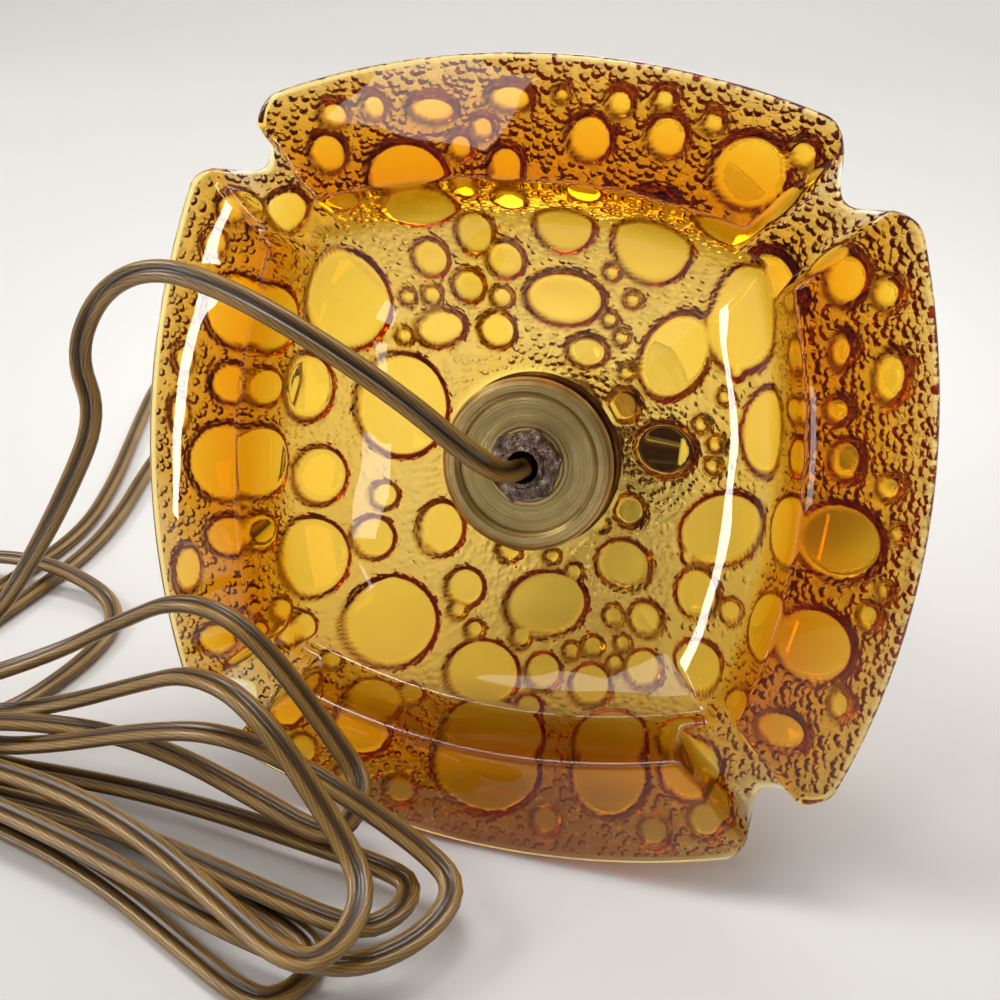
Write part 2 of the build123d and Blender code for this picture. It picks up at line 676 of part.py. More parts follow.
with BuildPart() as bulb_insulator:
    turned([(0, contact_top), (bulb_contact_radius + 0.8, contact_top), (bulb_cap_radius - 0.8, insulator_top - 0.3),
            (bulb_cap_radius - 0.8, insulator_top), (0, insulator_top)])
bulb_insulator.part.label = "bulb_insulator"
export_step(bulb_insulator.part, "parts/bulb_insulator.step")

with BuildPart() as bulb_cap:
    cap_inside = bulb_cap_radius - bulb_cap_wall
    turned([
        (cap_inside - 0.8, bulb_cap_low),
        (cap_inside, bulb_cap_low),
        (bulb_cap_radius, bulb_cap_low + 0.8),
        (bulb_cap_radius, bulb_cap_high),
        (cap_inside, bulb_cap_high),
        (cap_inside, bulb_cap_low + 1.0),
        (cap_inside - 0.8, bulb_cap_low + 0.4),
    ])
bulb_cap.part.label = "bulb_cap"
export_step(bulb_cap.part, "parts/bulb_cap.step")

neck_start = bulb_cap_high - 8.0
neck_end = bulb_cap_high + touch_gap
neck_drop = bulb_centre - neck_end
neck_arc = (bulb_neck_radius**2 + neck_drop**2 - bulb_radius**2) / (2 * (bulb_radius - bulb_neck_radius))
arc_middle = bulb_neck_radius + neck_arc
meeting_angle = math.atan2(neck_drop, arc_middle)


def spin_bulb_outline(inset, start, mode=Mode.ADD):
    """Spin the bulb's outline, drawn in by a wall: neck, hollow arc, then ball."""
    ball = bulb_radius - inset
    hollow = neck_arc + inset
    meeting = (ball * math.cos(meeting_angle), bulb_centre - ball * math.sin(meeting_angle))
    half_turn = (math.pi - meeting_angle) + meeting_angle / 2
    hollow_middle = (arc_middle + hollow * math.cos(half_turn), neck_end + hollow * math.sin(half_turn))
    ball_middle = (ball * math.cos((math.pi / 2 - meeting_angle) / 2),
                   bulb_centre + ball * math.sin((math.pi / 2 - meeting_angle) / 2))
    with BuildSketch(half_section) as outline_face:
        with BuildLine():
            Line((0, start), (bulb_neck_radius - inset, start))
            Line((bulb_neck_radius - inset, start), (bulb_neck_radius - inset, neck_end))
            ThreePointArc((bulb_neck_radius - inset, neck_end), hollow_middle, meeting)
            ThreePointArc(meeting, ball_middle, (0, bulb_centre + ball))
            Line((0, bulb_centre + ball), (0, start))
        make_face()
    revolve(outline_face.sketch, axis=lamp_axis, mode=mode)


with BuildPart() as bulb_globe:
    spin_bulb_outline(0, neck_start)
    spin_bulb_outline(bulb_glass_wall, neck_start - 1, mode=Mode.SUBTRACT)
bulb_globe.part.label = "bulb_globe"
export_step(bulb_globe.part, "parts/bulb_globe.step")

stem_top = neck_start + bulb_stem_length
with BuildPart() as bulb_stem:
    flare_radius = bulb_neck_radius - bulb_glass_wall - touch_gap
    turned([(0, neck_start), (flare_radius, neck_start), (flare_radius, neck_start + 1.2),
            (bulb_stem_radius, neck_start + 7), (bulb_stem_top_radius, stem_top), (0, stem_top)])
bulb_stem.part.label = "bulb_stem"
export_step(bulb_stem.part, "parts/bulb_stem.step")


def tube(points, diameter, radii):
    """Sweep a round tube along straight runs joined by tangent arcs."""
    with BuildLine() as route:
        FilletPolyline(*points, radius=radii)
    start = Vector(points[0])
    with BuildSketch(Plane(origin=start, z_dir=Vector(points[1]) - start)) as section:
        Circle(diameter / 2)
    sweep(section.sketch, path=route.wire())


def corner_radii(points, share=arc_share):
    """Give each corner the arc that takes a share of its shorter run."""
    radii = []
    for before, corner, after in zip(points, points[1:], points[2:]):
        arriving = Vector(corner) - Vector(before)
        leaving = Vector(after) - Vector(corner)
        half_turn = math.radians(arriving.get_angle(leaving)) / 2
        radii.append(share * min(arriving.length, leaving.length) / math.tan(half_turn))
    return radii


filament_points = [
    lamp.from_local_coords(Vector(across, 0, stem_top + above))
    for across, above in [(-1.4, 0), (-1.4, 2), (-filament_arch, 14), (-filament_arch / 2, 20),
                          (filament_arch / 2, 20), (filament_arch, 14), (1.4, 2), (1.4, 0)]
]
with BuildPart() as bulb_filament:
    tube(filament_points, filament_wire, corner_radii(filament_points, 0.3))
bulb_filament.part.label = "bulb_filament"
export_step(bulb_filament.part, "parts/bulb_filament.step")

# Insulated leads from the cord to the terminals
for lead_name, side in (("hot_lead", 1), ("neutral_lead", -1)):
    lead_points = [
        lamp.from_local_coords(Vector(0, side * across, height))
        for across, height in [(1.05, nipple_high + 2), (1.05, nipple_high + 5), (9, cap_high - 2),
                               (11.7, cap_high + 0.4), (11.7, terminal_place - terminal_head_radius - 0.3)]
    ]
    with BuildPart() as lead:
        tube(lead_points, lead_diameter, corner_radii(lead_points))
    lead.part.label = lead_name
    export_step(lead.part, f"parts/{lead_name}.step")

with BuildPart() as cord_in_nipple:
    turned([(0, nipple_low), (cord_diameter / 2, nipple_low), (cord_diameter / 2, nipple_high + 2),
            (0, nipple_high + 2)])
cord_in_nipple.part.label = "cord_in_nipple"
export_step(cord_in_nipple.part, "parts/cord_in_nipple.step")


def report_route(name, points, solid):
    """Print a route's smallest arc, and its solid's volume against its section and length."""
    with BuildLine() as route:
        FilletPolyline(*points, radius=corner_radii(points))
    length = route.wire().length
    section = math.pi * (cord_diameter / 2) ** 2
    print(name, "length", round(length), "radii", sorted(round(r, 1) for r in corner_radii(points))[:5],
          "volume ratio", round(solid.volume / (section * length), 3))


# Free stretch of the cord
nipple_end = lamp.from_local_coords(Vector(0, 0, nipple_low))
free_route = [nipple_end, nipple_end - lamp.z_dir * exit_run] + [Vector(*point) for point in free_points]
with BuildPart() as cord_to_floor:
    tube(free_route, cord_diameter, corner_radii(free_route))
cord_to_floor.part.label = "cord_to_floor"
export_step(cord_to_floor.part, "parts/cord_to_floor.step")
report_route("cord_to_floor", free_route, cord_to_floor.part)


def from_waist(heading, along, side, height):
    """Give the floor place that lies along and to the left of a heading from the waist."""
    angle = math.radians(heading)
    return Vector(waist_right + along * math.cos(angle) - side * math.sin(angle),
                  waist_up + along * math.sin(angle) + side * math.cos(angle), height)


def tip_places(straight, radius):
    """Give the four corners that hold a round tip: distance along, distance to the side."""
    corner = radius / math.cos(math.radians(22.5))
    return [(straight + corner * math.cos(math.radians(turn)), corner * math.sin(math.radians(turn)))
            for turn in (67.5, 22.5, -22.5, -67.5)]


def lobe(heading, reach, radius, belly_out, belly_back, lift, late, tilt, bend, start, tip, end, sag):
    """Give the points of one lobe on the right."""
    straight = reach - radius
    places = []
    for step in range(1, lobe_steps):
        part_way = step / lobe_steps
        side = waist_half + (radius - waist_half) * part_way + belly_out * math.sin(math.pi * part_way)
        rise = (tip + tilt - start) * part_way + lift * math.sin(math.pi * part_way**late)
        places.append((straight * part_way, side, start + rise))
    for along, side in tip_places(straight, radius):
        places.append((along, side, tip + tilt * side / math.hypot(along - straight, side)))
    for step in range(lobe_steps - 1, 0, -1):
        part_way = step / lobe_steps
        side = waist_half + (radius - waist_half) * part_way + belly_back * math.sin(math.pi * part_way)
        places.append((straight * part_way, -side, end + (tip - tilt - end) * part_way**sag))
    return [from_waist(heading, along, side + bend * (along / reach) ** 2, height) for along, side, height in places]


def left_turn(reach, start, end):
    """Give the points of one turn on the left, which goes down from one height to the next."""
    straight = reach - turn_radius
    places = []
    for step in range(1, turn_steps):
        part_way = step / turn_steps
        places.append((straight * part_way, waist_half + (turn_radius - waist_half) * part_way))
    places += tip_places(straight, turn_radius)
    for step in range(turn_steps - 1, 0, -1):
        part_way = step / turn_steps
        places.append((straight * part_way, -waist_half - (turn_radius - waist_half) * part_way))
    fall = (end - start) / (len(places) - 1)
    return [from_waist(turn_heading, along, side, start + fall * count)
            for count, (along, side) in enumerate(places)]


# The loops, one unbroken tube from the free stretch to the last lobe
entry_direction = (free_route[-1] - free_route[-2]).normalized()
hank_route = [free_route[-1], free_route[-1] + entry_direction * entry_run]
hank_route += [Vector(*point) for point in entry_points]
for count, loop in enumerate(loops):
    hank_route += lobe(*loop)[1:] if count == 0 else lobe(*loop)
    if count + 1 < len(loops):
        hank_route += left_turn(turn_reach - turn_step * count, loop[-2], loops[count + 1][-4])
with BuildPart() as cord_hank:
    tube(hank_route, cord_diameter, corner_radii(hank_route))
cord_hank.part.label = "cord_hank"
export_step(cord_hank.part, "parts/cord_hank.step")
report_route("cord_hank", hank_route, cord_hank.part)

# Least gap of the loops to themselves, measured on points along them
with BuildLine() as hank_line:
    FilletPolyline(*hank_route, radius=corner_radii(hank_route))
hank_wire = hank_line.wire()
point_step = 1.5
point_count = int(hank_wire.length / point_step)
hank_samples = [tuple(hank_wire @ (count / point_count)) for count in range(point_count + 1)]
apart = int(5 * cord_diameter / point_step)
least_gap = min(
    math.dist(hank_samples[first], hank_samples[second])
    for first in range(point_count + 1)
    for second in range(first + apart, point_count + 1)
) - cord_diameter
print("least gap in the loops", round(least_gap, 2))

# From the loops to the plug
tail_direction = (hank_route[-1] - hank_route[-2]).normalized()
tail_route = [hank_route[-1], hank_route[-1] + tail_direction * tail_run]
tail_route += [Vector(*point) for point in tail_points]
with BuildPart() as cord_to_plug:
    tube(tail_route, cord_diameter, corner_radii(tail_route))
cord_to_plug.part.label = "cord_to_plug"
export_step(cord_to_plug.part, "parts/cord_to_plug.step")
report_route("cord_to_plug", tail_route, cord_to_plug.part)

# Plug: tapered relief, flat moulded body and two blades
plug_plane = Plane(origin=tail_route[-1], x_dir=(1, 0, 0), z_dir=(0, -1, 0))
with BuildPart() as plug_body:
    with BuildSketch(plug_plane):
        Circle(cord_diameter / 2 + 0.6)
    with BuildSketch(plug_plane.offset(plug_relief_length)):
        Circle(plug_relief_radius)
    loft()
    with BuildSketch(plug_plane.offset(plug_relief_length)):
        RectangleRounded(plug_waist_width, plug_height - 2, plug_rounding)
    with BuildSketch(plug_plane.offset(plug_relief_length + plug_length * 0.6)):
        RectangleRounded(plug_width, plug_height, plug_rounding)
    loft(ruled=True)
    with BuildSketch(plug_plane.offset(plug_relief_length + plug_length * 0.6)):
        RectangleRounded(plug_width, plug_height, plug_rounding)
    extrude(amount=plug_length * 0.4)
plug_body.part.label = "plug_body"
export_step(plug_body.part, "parts/plug_body.step")

with BuildPart() as plug_blades:
    with BuildSketch(plug_plane.offset(plug_relief_length + plug_length)):
        with Locations((-blade_spacing / 2, 0), (blade_spacing / 2, 0)):
            Rectangle(blade_thickness, blade_width)
    extrude(amount=blade_length)
plug_blades.part.label = "plug_blades"
export_step(plug_blades.part, "parts/plug_blades.step")
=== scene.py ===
"""Accent lamp with a pressed amber glass foot, lying on its side on a pale floor."""

import math

import bmesh
import bpy
import numpy as np
from mathutils import Matrix, Vector


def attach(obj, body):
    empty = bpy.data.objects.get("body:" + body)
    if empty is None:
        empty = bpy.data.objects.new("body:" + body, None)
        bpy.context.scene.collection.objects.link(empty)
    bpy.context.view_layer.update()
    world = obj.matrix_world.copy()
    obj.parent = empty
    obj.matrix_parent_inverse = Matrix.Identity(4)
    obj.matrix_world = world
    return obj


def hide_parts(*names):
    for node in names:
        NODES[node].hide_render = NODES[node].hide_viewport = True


bl_info = {
    "name": "Accent Lamp with Pressed Glass Foot",
    "version": (1, 0, 0),
    "blender": (4, 5, 0),
    "location": "View3D > Sidebar > Accent Lamp",
    "description": "Dresses the lamp's frame with glass, cord, metal finishes and a studio",
    "category": "Object",
}

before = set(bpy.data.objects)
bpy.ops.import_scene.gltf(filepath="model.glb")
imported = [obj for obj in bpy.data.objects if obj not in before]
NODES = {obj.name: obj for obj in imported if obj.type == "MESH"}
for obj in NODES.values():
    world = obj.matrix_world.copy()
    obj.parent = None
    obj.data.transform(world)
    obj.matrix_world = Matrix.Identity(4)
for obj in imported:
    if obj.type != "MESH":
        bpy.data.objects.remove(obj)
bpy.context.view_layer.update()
MM = 0.001

# The lamp's own frame: the middle of its ridge plane, and its right, up and axis directions
PLACE = Vector((0.0, -77.2787, 84.4072)) * MM
RIGHT = Vector((1.0, 0.0, 0.0))
UP = Vector((0.0, 0.339296, 0.940680))
AXIS = Vector((0.0, 0.940680, -0.339296))

# ---------------------------------------------------------------- colours and node helpers


def linear(code):
    """Turns an sRGB hex colour into linear red, green, blue and alpha."""
    parts = [int(code[i : i + 2], 16) / 255 for i in (1, 3, 5)]
    return (*[p / 12.92 if p <= 0.04045 else ((p + 0.055) / 1.055) ** 2.4 for p in parts], 1.0)


def node(tree, kind, inputs=None, **settings):
    """Adds a node, sets its settings, and fills or links its inputs."""
    made = tree.nodes.new(kind)
    for name, value in settings.items():
        setattr(made, name, value)
    for key, value in (inputs or {}).items():
        socket = made.inputs[key]
        if isinstance(value, bpy.types.NodeSocket):
            tree.links.new(value, socket)
        else:
            socket.default_value = value
    return made


def maths(tree, operation, *values):
    """Gives the result of one maths node."""
    return node(tree, "ShaderNodeMath", dict(enumerate(values)), operation=operation).outputs[0]


def attribute(tree, name):
    """Gives a value that the mesh carries at its points."""
    return node(tree, "ShaderNodeAttribute", attribute_name=name).outputs["Fac"]


def object_place(tree):
    """Gives object coordinates, in metres."""
    return node(tree, "ShaderNodeTexCoord").outputs["Object"]


def noise(tree, place, size, detail, distortion=0.0):
    """Gives soft noise whose largest patches have a size in metres."""
    inputs = {"Vector": place, "Scale": 1 / size, "Detail": detail, "Distortion": distortion}
    return node(tree, "ShaderNodeTexNoise", inputs).outputs["Fac"]


def relief(tree, shader, strength, distance, height):
    """Gives a shader a relief, from a value between 0 and 1."""
    bump = node(tree, "ShaderNodeBump", {"Strength": strength, "Distance": distance, "Height": height})
    tree.links.new(bump.outputs[0], shader.inputs["Normal"])


def material(name, **sockets):
    """Makes a material with one Principled shader and gives its tree and shader."""
    made = bpy.data.materials.new(name)
    made.use_nodes = True
    tree = made.node_tree
    shader = tree.nodes["Principled BSDF"]
    for key, value in sockets.items():
        shader.inputs[key.replace("_", " ")].default_value = value
    return made, tree, shader


def colour_bands(tree, factor, stops):
    """Turns a value into colours, from (place, sRGB hex) stops."""
    ramp = node(tree, "ShaderNodeValToRGB", {"Fac": factor})
    elements = ramp.color_ramp.elements
    while len(elements) < len(stops):
        elements.new(0.5)
    for element, (place, code) in zip(elements, stops):
        element.position, element.color = place, linear(code)
    return ramp.outputs["Color"]


def lamp_space(tree):
    """Object coordinates with their origin on the lamp's axis and Z along it."""
    turn = Matrix((RIGHT, -UP, AXIS)).to_euler()
    here = object_place(tree)
    moved = node(tree, "ShaderNodeMapping", {"Vector": here, "Location": -PLACE}, vector_type="POINT")
    return node(
        tree, "ShaderNodeMapping", {"Vector": moved.outputs[0], "Rotation": turn}, vector_type="POINT"
    ).outputs[0]


def shade(node_name, *materials):
    """Gives a CAD node its materials."""
    slots = NODES[node_name].material_slots
    for index, slot in enumerate(slots):
        slot.link = "DATA"
        slot.material = materials[min(index, len(materials) - 1)]


def finished(mesh, name, finish, body, nodes=()):
    """Links a mesh as a piece of the lamp, with its material, its body and the nodes it stands for."""
    piece = bpy.data.objects.new(name, mesh)
    bpy.context.scene.collection.objects.link(piece)
    mesh.materials.clear()
    mesh.materials.append(finish)
    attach(piece, body)
    if nodes:
        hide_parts(*nodes)
    return piece


# ---------------------------------------------------------------- sizes and colours that a user may change


def length_setting(name, about, value):
    """Gives a length that a user may change, in metres."""
    return bpy.props.FloatProperty(name=name, description=about, default=value, unit="LENGTH")


class GlassSettings(bpy.types.PropertyGroup):
    """Sizes and colour of the pressed glass foot, in lamp space."""

    rim: length_setting("Rim", "From the axis to the middle of a side", 0.0877)
    bow: length_setting("Bow", "Radius that each side is bowed to", 0.176)
    notch: length_setting("Notch", "From the axis to a notch's side", 0.0617)
    hole: length_setting("Hole", "Radius of the centre hole", 0.0057)
    boss_rise: length_setting("Boss Rise", "Height of the clear bosses", 0.0025)
    pebble: length_setting("Pebble", "Width of one pebble of the stipple", 0.0018)
    absorbed: bpy.props.FloatVectorProperty(
        name="Amber", description="Colour that the glass lets through",
        default=(0.968, 0.833, 0.15), size=3, subtype="COLOR",
    )
    density: bpy.props.FloatProperty(name="Density", description="How strongly the amber takes light", default=370.0)


class CordSettings(bpy.types.PropertyGroup):
    """Sizes of the flat twin cord."""

    width: length_setting("Width", "Across both conductors", 0.0053)
    thickness: length_setting("Thickness", "Through one conductor", 0.0028)
    step: length_setting("Step", "Distance between sections", 0.0025)
    length: length_setting("Length", "Whole length of the cord", 2.74)


class StageSettings(bpy.types.PropertyGroup):
    """Floor, lights and camera."""

    floor: bpy.props.FloatVectorProperty(
        name="Floor", description="Colour of the floor", default=linear("#EDEAE6")[:3], size=3, subtype="COLOR"
    )
    lens: bpy.props.FloatProperty(
        name="Lens", description="Focal length, on a 36 mm sensor", default=39.0, unit="CAMERA"
    )
    key_power: bpy.props.FloatProperty(
        name="Key Light", description="Power of the soft light on the left", default=16.0, unit="POWER"
    )
    sky: bpy.props.FloatProperty(
        name="Sky", description="Strength of the even light from behind and above", default=0.58
    )


# ---------------------------------------------------------------- materials


def amber_glass():
    """Amber soda-lime glass, pressed in a mould.

    The side that was under the plunger is smooth, and the mould's side is stippled. That gives sharp
    highlights in front, and clear bosses in a net of small pebbles behind. The steep wall round each boss
    bends light away and looks dark brown, and so, more faintly, does the stipple; that dark brown is painted
    shade in the glass's colour.
    """
    sizes = bpy.context.scene.accent_lamp_glass
    made, tree, shader = material(
        "amber_soda_lime_glass", Base_Color=(1, 1, 1, 1), Roughness=0.015, IOR=1.52, Transmission_Weight=1.0
    )
    here = object_place(tree)
    grain = attribute(tree, "stipple")
    wall = attribute(tree, "wall")
    # painted shade: the colour turns dark brown on the boss walls and, more faintly, on the stipple, where the glass
    # bends light away
    painted_shade = maths(tree, "MULTIPLY_ADD", grain, 0.4, wall)
    colour = colour_bands(tree, painted_shade, [(0.0, "#FFFFFF"), (0.4, "#C9A070"), (1.0, "#55300F")])
    tree.links.new(colour, shader.inputs["Base Color"])
    # pebbles of about two millimetres, each with its own size, pressed by a stippled mould
    pebbles = node(
        tree, "ShaderNodeTexVoronoi", {"Vector": here, "Scale": 1 / sizes.pebble, "Randomness": 1.0}
    ).outputs["Distance"]
    domes = node(
        tree, "ShaderNodeMapRange", {"Value": pebbles, "From Min": 0.75, "From Max": 0.05},
        interpolation_type="SMOOTHSTEP",
    ).outputs[0]
    # wrinkles of about one millimetre, where the mould was chilled
    wrinkles = noise(tree, here, 0.0016, 2.0, 0.6)
    rough = maths(tree, "MULTIPLY_ADD", wrinkles, 0.6, domes)
    # slow waves left by the plunger, about 30 mm long
    waves = noise(tree, here, 0.03, 1.0)
    pressed = node(tree, "ShaderNodeBump", {"Strength": 0.12, "Distance": 0.004, "Height": waves})
    stippled = node(
        tree, "ShaderNodeBump",
        {"Strength": grain, "Distance": 0.00075, "Height": rough, "Normal": pressed.outputs[0]},
    )
    tree.links.new(stippled.outputs[0], shader.inputs["Normal"])
    depth = node(tree, "ShaderNodeVolumeAbsorption", {"Density": sizes.density})
    depth.inputs["Color"].default_value = (*sizes.absorbed, 1.0)
    tree.links.new(depth.outputs[0], tree.nodes["Material Output"].inputs["Volume"])
    return made


def spun_brass(name, dark, bright, ring_width, sheen_and_tarnish_share):
    """Spun brass with its lacquer gone. Fine turned rings are painted lighter as a sheen where they would catch the
    light, and it has darkened with tarnish between them.
    """
    made, tree, shader = material(name, Metallic=1.0, Roughness=0.34)
    place = lamp_space(tree)
    apart = node(tree, "ShaderNodeSeparateXYZ", {"Vector": place})
    flat = node(tree, "ShaderNodeCombineXYZ", {"X": apart.outputs["X"], "Y": apart.outputs["Y"]})
    reach = node(tree, "ShaderNodeVectorMath", {0: flat.outputs[0]}, operation="LENGTH").outputs["Value"]
    counted = maths(tree, "MULTIPLY", reach, 1 / ring_width)
    rings = node(
        tree, "ShaderNodeTexNoise", {"W": counted, "Scale": 1.0, "Detail": 3.0}, noise_dimensions="1D"
    ).outputs["Fac"]
    patches = noise(tree, place, 0.006, 6.0)
    mixed = maths(tree, "ADD", rings, patches)
    # painted sheen and tarnish: the turned rings come out lighter in the colour as a sheen, and the bands and patches
    # between them darker with tarnish
    tarnish_and_sheen = node(
        tree, "ShaderNodeMapRange", {"Value": mixed, "From Min": 1.25 - sheen_and_tarnish_share, "From Max": 1.35}
    ).outputs[0]
    tree.links.new(colour_bands(tree, tarnish_and_sheen, [(0.0, dark), (1.0, bright)]), shader.inputs["Base Color"])
    rough = node(tree, "ShaderNodeMapRange", {"Value": patches, "To Min": 0.5, "To Max": 0.24}).outputs[0]
    tree.links.new(rough, shader.inputs["Roughness"])
    relief(tree, shader, 0.5, 0.0004, rings)
    return made


def rusted_steel():
    """Plated steel, cut and threaded, its plating dulled. Red-brown rust sits in small pits."""
    made, tree, shader = material("rusted_plated_steel", Metallic=0.85, Roughness=0.42)
    here = object_place(tree)
    # rust patches of about 2 mm, and pits of about half a millimetre
    patches = noise(tree, here, 0.002, 8.0)
    pits = node(tree, "ShaderNodeTexVoronoi", {"Vector": here, "Scale": 1 / 0.0007}).outputs["Distance"]
    colour = colour_bands(tree, patches, [(0.3, "#4B3B34"), (0.5, "#8C766A"), (0.62, "#BBA898"), (0.75, "#E2D6C6")])
    tree.links.new(colour, shader.inputs["Base Color"])
    both = maths(tree, "ADD", patches, pits)
    relief(tree, shader, 0.8, 0.0005, both)
    return made


def clean_metal(name, code, rough, grain):
    """Drawn or turned metal, with faint drawing marks and a little tarnish."""
    made, tree, shader = material(name, Metallic=1.0, Roughness=rough)
    here = object_place(tree)
    marks = noise(tree, here, grain, 4.0)
    colour = node(
        tree, "ShaderNodeMixRGB", {"Fac": 0.35, "Color1": linear(code), "Color2": marks}, blend_type="OVERLAY"
    )
    tree.links.new(colour.outputs[0], shader.inputs["Base Color"])
    spread = node(
        tree, "ShaderNodeMapRange", {"Value": marks, "To Min": rough - 0.1, "To Max": rough + 0.15}
    ).outputs[0]
    tree.links.new(spread, shader.inputs["Roughness"])
    relief(tree, shader, 0.15, grain / 4, marks)
    return made


def moulded(name, dark, light, rough, swirl, coat=0.0):
    """Moulded plastic or phenolic: an even colour with faint flow marks, and a fine skin texture."""
    made, tree, shader = material(name, Roughness=rough, IOR=1.54, Coat_Weight=coat, Coat_Roughness=0.12)
    here = object_place(tree)
    flow = noise(tree, here, swirl, 5.0, 1.2)
    tree.links.new(colour_bands(tree, flow, [(0.35, dark), (0.65, light)]), shader.inputs["Base Color"])
    fine = noise(tree, here, 0.0006, 3.0)
    relief(tree, shader, 0.2, 0.0001, fine)
    return made


def wool_felt():
    """Pressed wool felt, dyed dark green. Loose fibres give it a soft edge and no shine."""
    made, tree, shader = material("pressed_wool_felt", Roughness=0.95, IOR=1.5, Sheen_Weight=0.5, Sheen_Roughness=0.6)
    here = object_place(tree)
    fibres = noise(tree, here, 0.0009, 8.0)
    tree.links.new(colour_bands(tree, fibres, [(0.3, "#15180F"), (0.7, "#3E4630")]), shader.inputs["Base Color"])
    relief(tree, shader, 0.9, 0.0004, fibres)
    return made


def clear_brown_vinyl():
    """Clear brown flexible vinyl, extruded over two stranded copper conductors.

    The copper shows through as a warm light core in each rib, and the groove between them is darker.
    """
    made, tree, shader = material(
        "clear_brown_vinyl", Roughness=0.3, IOR=1.53, Coat_Weight=0.22, Coat_Roughness=0.16, Transmission_Weight=0.2
    )
    across = attribute(tree, "across")
    along = attribute(tree, "along")
    # strands twisted once in about 14 mm, drawn as slanting light lines under the skin
    lay = maths(tree, "MULTIPLY_ADD", along, 1 / 0.014, 0.0)
    slant = maths(tree, "MULTIPLY_ADD", across, 6.0, lay)
    turns = maths(tree, "MULTIPLY", slant, 6.0 * math.pi)
    strands = maths(tree, "SINE", turns)
    core = attribute(tree, "core")
    mottle = noise(tree, object_place(tree), 0.012, 3.0)
    lit = maths(tree, "MULTIPLY_ADD", strands, 0.09, core)
    lit = maths(tree, "MULTIPLY_ADD", mottle, 0.4, lit)
    lit = maths(tree, "MULTIPLY", lit, 0.8)
    colour = colour_bands(
        tree, lit, [(0.2, "#1C1006"), (0.5, "#4A3210"), (0.8, "#7C5A20"), (1.0, "#B88E48")]
    )
    tree.links.new(colour, shader.inputs["Base Color"])
    return made


def clear_bulb_glass():
    """Blown clear lime glass, thin and even, so that only its edge and its highlights show."""
    made, tree, shader = material("blown_lime_glass", Roughness=0.02, IOR=1.5, Transmission_Weight=1.0)
    here = object_place(tree)
    waves = noise(tree, here, 0.02, 1.0)
    tint = colour_bands(tree, waves, [(0.3, "#F7F8F5"), (0.7, "#FFFFFF")])
    tree.links.new(tint, shader.inputs["Base Color"])
    relief(tree, shader, 0.05, 0.002, waves)
    return made


def pale_floor():
    """Matt painted board, almost even, so that the soft shadow is all that shows on it."""
    made, tree, shader = material("matt_painted_board", Roughness=0.9)
    here = object_place(tree)
    drift = node(tree, "ShaderNodeTexNoise", {"Vector": here, "Scale": 1.5, "Detail": 1.0}).outputs["Fac"]
    colour = node(
        tree, "ShaderNodeMixRGB",
        {"Fac": drift, "Color1": (*bpy.context.scene.accent_lamp_stage.floor, 1.0), "Color2": linear("#E9E7E4")},
    )
    tree.links.new(colour.outputs[0], shader.inputs["Base Color"])
    return made


# ---------------------------------------------------------------- cord route, in millimetres as the frame has it

# Where the cord comes out of the nipple, and its free arch down to the loops
EXIT = PLACE / MM + AXIS * 20.5
FREE_POINTS = [
    (-6.5, -76.5, 90), (-19, -77.5, 101), (-40, -76, 113), (-62, -73, 121.5), (-81, -69.5, 123.5),
    (-97, -68.5, 115.5), (-104, -73, 101), (-98, -77, 88), (-107, -84, 69), (-118, -90, 51), (-126, -94.5, 39),
    (-132, -98, 33.5),
]
# How far along the free stretch keeps its flat side forward, over how much it turns, and which way is forward
FREE_UNTIL, FREE_FADE, FREE_FACING = 0.16, 0.08, (0.15, -0.75, 0.65)
# The loops cross at a waist: its place on the floor, half of its width, and the steps along one side of a loop
WAIST_X, WAIST_Y, WAIST_HALF, LOBE_STEPS = -143.0, -122.0, 4.0, 6
# heading, reach, tip radius, belly out and back, lift, how late it comes, tilt, bend, heights at start, tip, end, sag
LOOPS = [
    (3.5, 120, 8, 14, -13, 33, 2.3, 5, 2, 27.2, 18, 23, 2.5),
    (-7, 133, 12, 15, -10, 28, 2.5, 4, -5, 17.4, 19, 17.4, 1),
    (-20, 140, 16, 10, -10, 24, 2.0, 2, 40, 12.3, 11.5, 12.3, 1),
    (-12, 134, 8.5, 9, -10, 1, 1.8, 0, 22, 7.4, 7.4, 7.4, 1),
    (-16, 123, 9, 7, -8, 0, 1.1, 0, 9, 2.3, 2.3, 2.3, 1),
]
# The turns on the waist's left: heading, reach, how much shorter each next one is, tip radius and steps
TURN_HEADING, TURN_REACH, TURN_STEP, TURN_RADIUS, TURN_STEPS = 172.0, 34.0, 2.0, 11.0, 3
# Straight runs into the loops and out of them, and the height of the cord's middle where it lies on the floor
ENTRY_RUN, TAIL_RUN, LYING = 8.5, 15.0, 2.3
ENTRY_POINTS = [(-144.5, -105.5, 27.8), (-146, -112.5, 27.5), (-140.5, -118, 27.5), (-131.5, -116.5, 28.4)]
LYING_POINTS = [
    (-152, -131), (-166, -137), (-179, -135), (-188, -124), (-189, -109), (-186, -90), (-181, -67), (-174, -42),
    (-169, -12), (-178, 20), (-190, 50), (-201, 78), (-209, 100), (-210, 119), (-201, 133), (-186, 136),
    (-174, 126), (-171, 108), (-174, 82), (-176, 55), (-171, 30), (-163, 2), (-160, -24), (-164, -50), (-168, -72),
    (-168, -88), (-160, -101), (-146, -104), (-135, -95), (-130, -81), (-127.5, -66),
]
RISING_POINTS = [
    (-129, -53, 2.4), (-137, -44, 3.4), (-149, -40.5, 6.4), (-161, -39.5, 8.8), (-174, -39, 8.8), (-187, -40, 7.6),
    (-199, -45, 6.6), (-207, -54, 6.4), (-207, -65, 6.4),
]

# Where a rib's middle lies, as a share of the cord's half width, and how narrow the rib is
RIB_MIDDLE, RIB_NARROWNESS = 0.47, 1.86


def from_waist(heading, along, side, height):
    """Gives the place that lies along and to the left of a heading from the loops' waist."""
    angle = math.radians(heading)
    return Vector((WAIST_X + along * math.cos(angle) - side * math.sin(angle),
                   WAIST_Y + along * math.sin(angle) + side * math.cos(angle), height))


